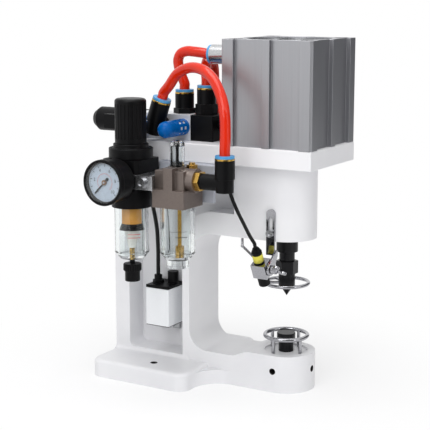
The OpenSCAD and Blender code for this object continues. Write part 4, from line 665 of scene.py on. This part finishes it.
# %% [markdown]
# ## Rounded edges
# Nothing on the real machine has a razor edge: a casting is rounded by its mould and its paint, and even a
# machined bar has its edges broken. Each of these pieces is a copy of its solid. Its loose triangles are
# joined, its flat faces become single faces, and a Bevel rounds the edges that remain, apart from short ones.

# %% Rounded copies of the solids
bodies = {node: body for body, members in frame["record"]["behaviour"]["bodies"].items() for node in members}
WELD = 0.002 * MM
ROUND_FROM, FLAT = math.radians(32), math.radians(0.15)  # angles across an edge


def flat_regions(bm):
    """Groups of faces that lie in one plane and touch."""
    left = set(bm.faces)
    while left:
        region, border = set(), [left.pop()]
        while border:
            face = border.pop()
            region.add(face)
            for edge in face.edges:
                if len(edge.link_faces) == 2 and edge.calc_face_angle() < FLAT:
                    border += [f for f in edge.link_faces if f in left]
                    left.difference_update(edge.link_faces)
        yield region


def outline_count(region):
    """How many closed outlines a region has: one if it has no hole."""
    rim = [e for face in region for e in face.edges if sum(f in region for f in e.link_faces) == 1]
    at = {}
    for edge in rim:
        for vert in edge.verts:
            at.setdefault(vert, []).append(edge)
    left, count = set(rim), 0
    while left:
        count += 1
        border = [left.pop()]
        while border:
            near = {e for vert in border.pop().verts for e in at[vert]} & left
            left -= near
            border += near
    return count


def join_flat_faces(bm):
    """Make each flat region one face. A region with a hole keeps its triangles, since a face can't have one.
    Edges go in the order of their numbers, so that every run gives the same mesh."""
    inner = set()
    for region in flat_regions(bm):
        if len(region) > 1 and outline_count(region) == 1:
            inner.update(e for face in region for e in face.edges if all(f in region for f in e.link_faces))
    bm.edges.index_update()
    bmesh.ops.dissolve_edges(bm, edges=sorted(inner, key=lambda edge: edge.index), use_verts=False,
                             use_face_split=False)


def rounded(node, radius, segments, shortest):
    """A copy of a solid with rounded edges, standing for its node. Edges shorter than shortest, such as the
    rims of small holes, stay sharp."""
    bm = bmesh.new()
    bm.from_mesh(nodes[node].data)
    bmesh.ops.remove_doubles(bm, verts=bm.verts, dist=WELD)
    join_flat_faces(bm)
    weight = bm.edges.layers.float.new("bevel_weight_edge")
    for edge in bm.edges:
        if len(edge.link_faces) == 2 and edge.calc_face_angle() > ROUND_FROM:
            if edge.calc_length() > shortest:
                edge[weight] = 1.0
            else:
                edge.smooth = False
    for face in bm.faces:
        face.smooth = True
    mesh = bpy.data.meshes.new(node + "_rounded")
    bm.to_mesh(mesh)
    bm.free()
    for layer in [a for a in mesh.attributes if a.name == "custom_normal"]:
        mesh.attributes.remove(layer)
    mesh.materials.clear()
    mesh.materials.append(finish_of(node))
    piece = bpy.data.objects.new(node + "_rounded", mesh)
    scene.collection.objects.link(piece)
    bevel = piece.modifiers.new("edge", "BEVEL")
    bevel.width = radius
    bevel.segments = segments
    bevel.limit_method = "WEIGHT"
    bevel.use_clamp_overlap = True
    bevel.harden_normals = True
    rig.ride(piece, bodies[node])
    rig.replaces(piece, node)
    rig.slot(piece, slots[node])
    return piece


for node, radius, segments, shortest in (
        ("frame_casting", 2.0, 3, 1.3), ("top_plate", 1.0, 3, 1.3), ("cylinder_barrel", 0.5, 2, 1.0),
        ("junction_box", 0.8, 3, 1.0), ("box_lid", 0.5, 2, 0.3), ("valve_body", 0.5, 2, 1.3),
        ("valve_end_cap", 0.7, 2, 1.3), ("valve_coil", 0.6, 2, 0.5), ("lubricator_body", 0.6, 2, 1.0),
        ("module_clamp", 0.4, 2, 1.0), ("regulator_body", 0.6, 2, 0.3), ("regulator_bonnet", 0.7, 2, 0.3),
        ("air_unit_bracket", 0.3, 2, 1.0), ("lock_nut", 0.4, 2, 1.0), ("ram", 0.4, 2, 0.3),
        ("lower_die", 0.4, 2, 0.3), ("lamp_clamp", 0.3, 2, 1.0), ("elbow_fittings", 0.5, 2, 0.6),
        ("straight_fittings", 0.4, 2, 0.6), ("release_collars", 0.4, 2, 0.6), ("gauge_case", 0.5, 2, 0.6),
        ("lamp_body", 0.4, 2, 0.2), ("drain_knob", 0.4, 2, 0.3), ("lamp_bar", 0.3, 2, 0.5),
        ("wing_screw", 0.3, 2, 0.2), ("outlet_nipple", 0.3, 2, 0.6), ("filler_plug", 0.2, 2, 0.3),
        ("upper_die", 0.2, 2, 0.3)):
    piece = rounded(node, radius * MM, segments, shortest * MM)
    print(piece.name, "polygons", len(piece.data.polygons))

# %% [markdown]
# ## Small parts that repeat round an axis
# The felt in a silencer's slots, the marks on a dial, the ribs of a knob and the level lines on a bowl are one
# small block repeated round an axis. A Geometry Nodes tree makes them all: points on a circle, a block on each
# point turned to face outwards, and a finish. Its sizes are inputs, so one tree serves every ring.

# %% A tree that repeats a block round an axis
repeat = bpy.data.node_groups.new("repeat_round", "GeometryNodeTree")
for label, kind in (("Count", "Int"), ("Radius", "Float"), ("Size", "Vector"), ("Start", "Float"),
                    ("Step", "Float"), ("Rise", "Float"), ("Finish", "Material")):
    repeat.interface.new_socket(name=label, in_out="INPUT", socket_type="NodeSocket" + kind)
repeat.interface.new_socket(name="Geometry", in_out="OUTPUT", socket_type="NodeSocketGeometry")


def step(kind, inputs=(), **settings):
    """A node of the repeat tree, with its sockets linked or set."""
    made = repeat.nodes.new(kind)
    for key, value in settings.items():
        setattr(made, key, value)
    for socket, value in dict(inputs).items():
        repeat.links.new(value, made.inputs[socket])
    return made.outputs


given = step("NodeGroupInput")
turn = step("ShaderNodeMath", {0: step("GeometryNodeInputIndex")[0], 1: given["Step"], 2: given["Start"]},
            operation="MULTIPLY_ADD")[0]
flat = [step("ShaderNodeMath", {0: step("ShaderNodeMath", {0: turn}, operation=wave)[0], 1: given["Radius"]},
             operation="MULTIPLY")[0] for wave in ("COSINE", "SINE")]
spot = step("ShaderNodeCombineXYZ", {"X": flat[0], "Y": flat[1], "Z": given["Rise"]})[0]
points = step("GeometryNodePoints", {"Count": given["Count"], "Position": spot})[0]
facing = step("FunctionNodeEulerToRotation", {"Euler": step("ShaderNodeCombineXYZ", {"Z": turn})[0]})[0]
block = step("GeometryNodeMeshCube", {"Size": given["Size"]})["Mesh"]
copies = step("GeometryNodeInstanceOnPoints", {"Points": points, "Instance": block, "Rotation": facing})[0]
whole = step("GeometryNodeRealizeInstances", {"Geometry": copies})[0]
dressed = step("GeometryNodeSetMaterial", {"Geometry": whole, "Material": given["Finish"]})[0]
repeat.links.new(dressed, repeat.nodes.new("NodeGroupOutput").inputs["Geometry"])
print("repeat tree nodes", len(repeat.nodes))


# %% [markdown]
# A ring is made at the origin, turned into a plain mesh and then put in its place, so that the finished piece
# needs no modifier. Rings that ride on the same body with the same finish become one piece.

# %% Rings as plain meshes
def new_mesh_of(holder):
    """The evaluated shape of an object as a plain mesh; the object itself goes."""
    mesh = bpy.data.meshes.new_from_object(holder.evaluated_get(bpy.context.evaluated_depsgraph_get()))
    bpy.data.objects.remove(holder)
    return mesh


def ring(place, finish, **sizes):
    """One ring of blocks, moved to its place."""
    holder = bpy.data.objects.new("ring", bpy.data.meshes.new("ring"))
    scene.collection.objects.link(holder)
    modifier = holder.modifiers.new("repeat", "NODES")
    modifier.node_group = repeat
    for item in repeat.interface.items_tree:
        if item.in_out == "INPUT":
            modifier[item.identifier] = finish if item.name == "Finish" else sizes[item.name.lower()]
    mesh = new_mesh_of(holder)
    mesh.transform(place)
    return mesh


def one_piece(name, body, finish, meshes, slot):
    """Several meshes as one piece that rides on a body."""
    bm = bmesh.new()
    for mesh in meshes:
        bm.from_mesh(mesh)
    joined = bpy.data.meshes.new(name)
    bm.to_mesh(joined)
    bm.free()
    joined.materials.append(finish)
    for face in joined.polygons:
        face.material_index = 0
    piece = bpy.data.objects.new(name, joined)
    scene.collection.objects.link(piece)
    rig.ride(piece, body)
    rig.slot(piece, slot)
    print(name, "polygons", len(joined.polygons))


def axes(origin, across, up, out):
    """A place whose X, Y and Z point along three directions."""
    place = Matrix((across, up, out)).transposed().to_4x4()
    place.translation = origin
    return place


# %% [markdown]
# ## Silencers and drain
# White felt fills the slots of each silencer: two rows of eight. The drain knob under the bowl is ribbed for
# the fingers.

# %% Felt and ribs
SILENCER_Y, FELT_ROWS, FELT_COUNT, RIB_COUNT = (99.5, 143.5), (6.5, 13.5), 8, 28
felt, moulding = finishes["white_felt"], finishes["black_plastic"]
rows = [ring(axes(mm(-30, y, 252), UP, (0, 1, 0), (-1, 0, 0)), felt, count=FELT_COUNT, radius=6.3 * MM,
             size=mm(1, 2.9, 4.9), start=0.0, step=2 * math.pi / FELT_COUNT, rise=rise * MM)
        for y in SILENCER_Y for rise in FELT_ROWS]
one_piece("silencer_felt", "press", felt, rows, "white_plastic")
ribs = ring(Matrix.Translation(mm(-80, 126, 120)), moulding, count=RIB_COUNT, radius=8.5 * MM,
            size=mm(0.6, 0.9, 5.6), start=0.0, step=2 * math.pi / RIB_COUNT, rise=0.0)
one_piece("drain_ribs", "drain", moulding, [ribs], "black_plastic")

# %% [markdown]
# ## Level lines
# Thin printed lines on the front of each bowl show how far it may fill. Each is a row of short strokes that
# touch, which follows the curve of the bowl.

# %% Level lines
BOWL_R, STROKE_DEGREES = 16.5 * MM, 2
black, red = finishes["black_ink"], finishes["red_ink"]


def level_line(x, y, z, start, end, width, ink):
    """An arc on a bowl, between two angles in degrees."""
    count = round((end - start) / STROKE_DEGREES)
    return ring(Matrix.Translation(mm(x, y, z)), ink, count=count, radius=BOWL_R, size=mm(0.06, 0.62, width),
                start=math.radians(start), step=math.radians(STROKE_DEGREES), rise=0.0)


one_piece("filter_level_lines", "press", red,
          [level_line(-80, 126, z, 202, 244, 0.5, red) for z in (154.7, 151.5)], "black_plastic")
one_piece("lubricator_level_lines", "press", black,
          [level_line(-80, 74, 162.5, 188, 246, 0.3, black), level_line(-80, 74, 157.3, 206, 246, 0.6, black)],
          "black_plastic")

# %% [markdown]
# ## Dial
# The dial has eleven long marks over three quarters of a turn, short marks between them, figures at every
# second long mark, and a fainter inner scale. Marks and figures are print, a few hundredths thick.

# %% Dial print
dial = axes(mm(-122, 126, 208), (0, -1, 0), UP, (-1, 0, 0))
SWEEP_START, LONG_STEP = math.radians(225), math.radians(-27)
PRINT_THICK, PRINT_MIDDLE = 0.04, 0.02


def marks(ink, count, step, radius, length, width):
    """A scale of marks that starts at the dial's zero."""
    return ring(dial, ink, count=count, radius=radius * MM, size=mm(length, width, PRINT_THICK),
                start=SWEEP_START, step=step, rise=PRINT_MIDDLE * MM)


def figure(value, angle, radius, size):
    """A number on the dial, upright, as a mesh."""
    text = bpy.data.curves.new("figure", "FONT")
    text.body = str(value)
    text.size = size * MM
    text.align_x = text.align_y = "CENTER"
    text.extrude = PRINT_THICK / 2 * MM
    holder = bpy.data.objects.new("figure", text)
    scene.collection.objects.link(holder)
    mesh = new_mesh_of(holder)
    middle = mm(radius * math.cos(angle), radius * math.sin(angle), PRINT_MIDDLE)
    mesh.transform(dial @ Matrix.Translation(middle))
    return mesh


figures = [figure(2 * k, SWEEP_START + 2 * k * LONG_STEP, 11.9, 4.4) for k in range(6)]
one_piece("dial_black_print", "press", black,
          [marks(black, 11, LONG_STEP, 15.8, 2.6, 0.6), marks(black, 51, LONG_STEP / 5, 16.4, 1.4, 0.28),
           *figures], "black_plastic")
one_piece("dial_red_print", "press", red, [marks(red, 31, LONG_STEP / 3, 8.2, 1.1, 0.4)], "red_tube")

# %% [markdown]
# The needle has a broad counterweight behind its hub.

# %% Counterweight of the needle
def plate(name, outline, low, high, place):
    """A flat plate from an outline, between two heights."""
    bm = bmesh.new()
    foot = [bm.verts.new(mm(x, y, low)) for x, y in outline]
    top = [bm.verts.new(mm(x, y, high)) for x, y in outline]
    bm.faces.new(list(reversed(foot)))
    bm.faces.new(top)
    for k in range(len(outline)):
        n = (k + 1) % len(outline)
        bm.faces.new((foot[k], foot[n], top[n], top[k]))
    mesh = bpy.data.meshes.new(name)
    bm.to_mesh(mesh)
    bm.free()
    mesh.transform(place)
    return mesh


END_AT, END_R, NECK_AT, NECK_HALF = 4.6, 1.4, 2.3, 0.9
NEEDLE_LOW, NEEDLE_HIGH = 0.62, 1.3
end_angles = [math.radians(degrees) for degrees in range(-90, 91, 15)]
round_end = [(END_AT + END_R * math.cos(a), END_R * math.sin(a)) for a in end_angles]
neck = [(NECK_AT, NECK_HALF), (NECK_AT, -NECK_HALF)]
weight = plate("needle_weight", neck + round_end, NEEDLE_LOW, NEEDLE_HIGH,
               dial @ Matrix.Rotation(math.radians(45), 4, "Z"))
one_piece("needle_weight", "needle", moulding, [weight], "black_plastic")

# %% [markdown]
# ## Bands and discs
# A plain yellow band goes round the lamp. Inside the sight dome a black disc carries the drip tube.

# %% Band and disc
def sleeve(name, body, ends, diameter, finish, slot):
    """A short turned piece between two points."""
    piece = tube_piece(name, ends, diameter, sides=48)
    piece.data.materials.append(finish)
    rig.ride(piece, body)
    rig.slot(piece, slot)
    print(name, "polygons", len(piece.data.polygons))


band_ends = [lamp_pivot + reach * MM * lamp_axis for reach in (9, 17)]
sleeve("lamp_band", "lamp", band_ends, 10.08 * MM, finishes["yellow_tape"], "black_plastic")
sleeve("dome_disc", "press", [mm(-80, 74, 221.4), mm(-80, 74, 225.6)], 9.8 * MM, moulding, "black_plastic")

# %% [markdown]
# ## Finishes of the other solids
# The remaining solids keep their own meshes and only get a finish: the record says which one each piece has.

# %% Finishes of the other solids
shown = 0
for node, piece in nodes.items():
    if not piece.hide_render:
        piece.data.materials.clear()
        piece.data.materials.append(finish_of(node))
        shown += 1
for name, piece in cords.items():
    piece.data.materials.append(finishes["red_tube" if "tube" in name else "black_rubber"])
print("solids shown as they are", shown, "cords", len(cords))

# %% [markdown]
# ## Studio
# A pale floor, a white surround and three soft lights. The floor near the machine is lit as any surface, so
# it holds the shadow. Further away it fades to the same white as the surround.

# %% Floor and surround
FLOOR_R, FADE_FROM, FADE_TO, NEAR_SHARE = 40, 0.10, 0.30, 0.62
DIM, WHITE = 0.38, 1.0
floor_mesh = bpy.data.meshes.new("floor")
bm = bmesh.new()
bmesh.ops.create_circle(bm, cap_ends=True, segments=64, radius=FLOOR_R)
bm.to_mesh(floor_mesh)
bm.free()
floor = bpy.data.objects.new("floor", floor_mesh)
scene.collection.objects.link(floor)
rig.stage(floor)


def plain_rays(tree):
    """1 for what the camera sees, also in metal and through glass."""
    path = tree.nodes.new("ShaderNodeLightPath")
    total = path.outputs["Is Camera Ray"]
    for ray in ("Is Glossy Ray", "Is Transmission Ray"):
        either = tree.nodes.new("ShaderNodeMath")
        either.operation = "MAXIMUM"
        tree.links.new(total, either.inputs[0])
        tree.links.new(path.outputs[ray], either.inputs[1])
        total = either.outputs[0]
    return total


ground = Finish("pale_floor", Base_Color=srgb(248, 248, 249), Specular_IOR_Level=0.1)
ground.roughness(ground.noise(4, 2), 0.8, 0.9)
distance = ground.node("ShaderNodeVectorMath", {0: ground.coords.outputs["Object"], 1: mm(0, 80, 0)},
                       operation="DISTANCE")
fade = ground.node("ShaderNodeMapRange", {"Value": distance.outputs["Value"], "From Min": FADE_FROM,
                                          "From Max": FADE_TO, "To Min": NEAR_SHARE},
                   interpolation_type="SMOOTHSTEP")
share = ground.node("ShaderNodeMath", {0: plain_rays(ground.tree), 1: fade.outputs["Result"]},
                    operation="MULTIPLY")
white = ground.node("ShaderNodeEmission", {"Color": (1, 1, 1, 1), "Strength": WHITE})
mix = ground.node("ShaderNodeMixShader", {0: share.outputs[0], 1: ground.shader.outputs["BSDF"],
                                          2: white.outputs["Emission"]})
ground.tree.links.new(mix.outputs[0], ground.surface)
floor_mesh.materials.append(ground.material)

world = bpy.data.worlds.new("surround")
scene.world = world
world.use_nodes = True
sky = world.node_tree
background = next(n for n in sky.nodes if n.type == "BACKGROUND")
background.inputs["Color"].default_value = (1, 1, 1, 1)
level = sky.nodes.new("ShaderNodeMapRange")
level.inputs["To Min"].default_value = DIM
level.inputs["To Max"].default_value = WHITE
sky.links.new(plain_rays(sky), level.inputs["Value"])
sky.links.new(level.outputs["Result"], background.inputs["Strength"])
print("floor radius", FLOOR_R, "m, surround strength", DIM, "to", WHITE)

# %% [markdown]
# Metal in a plain white room shows no shape. A grey card stands to the right of the machine, a dark one near
# the camera and a low one to the left, where only reflections find them, so that round and turned faces get
# their darker streaks, as they do in a real studio.

# %% Cards
CARD_FOOT = -0.01
GREY, DARK = ((104, 105, 108), (120, 121, 124)), ((40, 40, 42), (52, 52, 54))


def card(name, left, right, height, tones):
    """An upright card between two points of the floor, seen in reflections only."""
    mesh = bpy.data.meshes.new(name)
    mesh.from_pydata([(*left, CARD_FOOT), (*right, CARD_FOOT), (*right, height), (*left, height)], [],
                     [(0, 1, 2, 3)])
    made = bpy.data.objects.new(name, mesh)
    scene.collection.objects.link(made)
    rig.stage(made)
    made.visible_camera = made.visible_diffuse = made.visible_shadow = False
    paper = Finish(name)
    paper.colour(paper.tone(paper.noise(3, 2), *tones))
    paper.roughness(paper.noise(6, 2), 0.7, 0.9)
    mesh.materials.append(paper.material)
    print(name, [round(v, 2) for v in made.dimensions])


card("grey_card", (0.25, -1.5), (1.5, -0.05), 0.9, GREY)
card("dark_card", (-0.75, -0.12), (-0.32, -0.72), 0.6, DARK)
card("low_card", (-0.34, 0.47), (-0.6, 0.05), 0.07, DARK)

# %% Lights
LIGHTS = (("key", (-1.15, -0.1, 0.9), 0.8, 6.3), ("fill", (-0.75, -1.2, 0.6), 0.9, 4.2),
          ("top", (-0.2, 0.1, 1.3), 0.9, 9.2))
aim = mm(0, 60, 170)
for name, place, size, power in LIGHTS:
    light = bpy.data.lights.new(name, "AREA")
    light.shape = "SQUARE"
    light.size = size
    light.energy = power
    lamp = bpy.data.objects.new(name, light)
    lamp.location = place
    lamp.rotation_euler = (aim - Vector(place)).to_track_quat("-Z", "Y").to_euler()
    scene.collection.objects.link(lamp)
print("lights", [row[0] for row in LIGHTS])

# %% Write the sizes
with open("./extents.json", "w") as sizes:
    json.dump({"cad": [list(v) for v in cad_box], "visual": [list(v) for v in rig.bounds()]}, sizes)
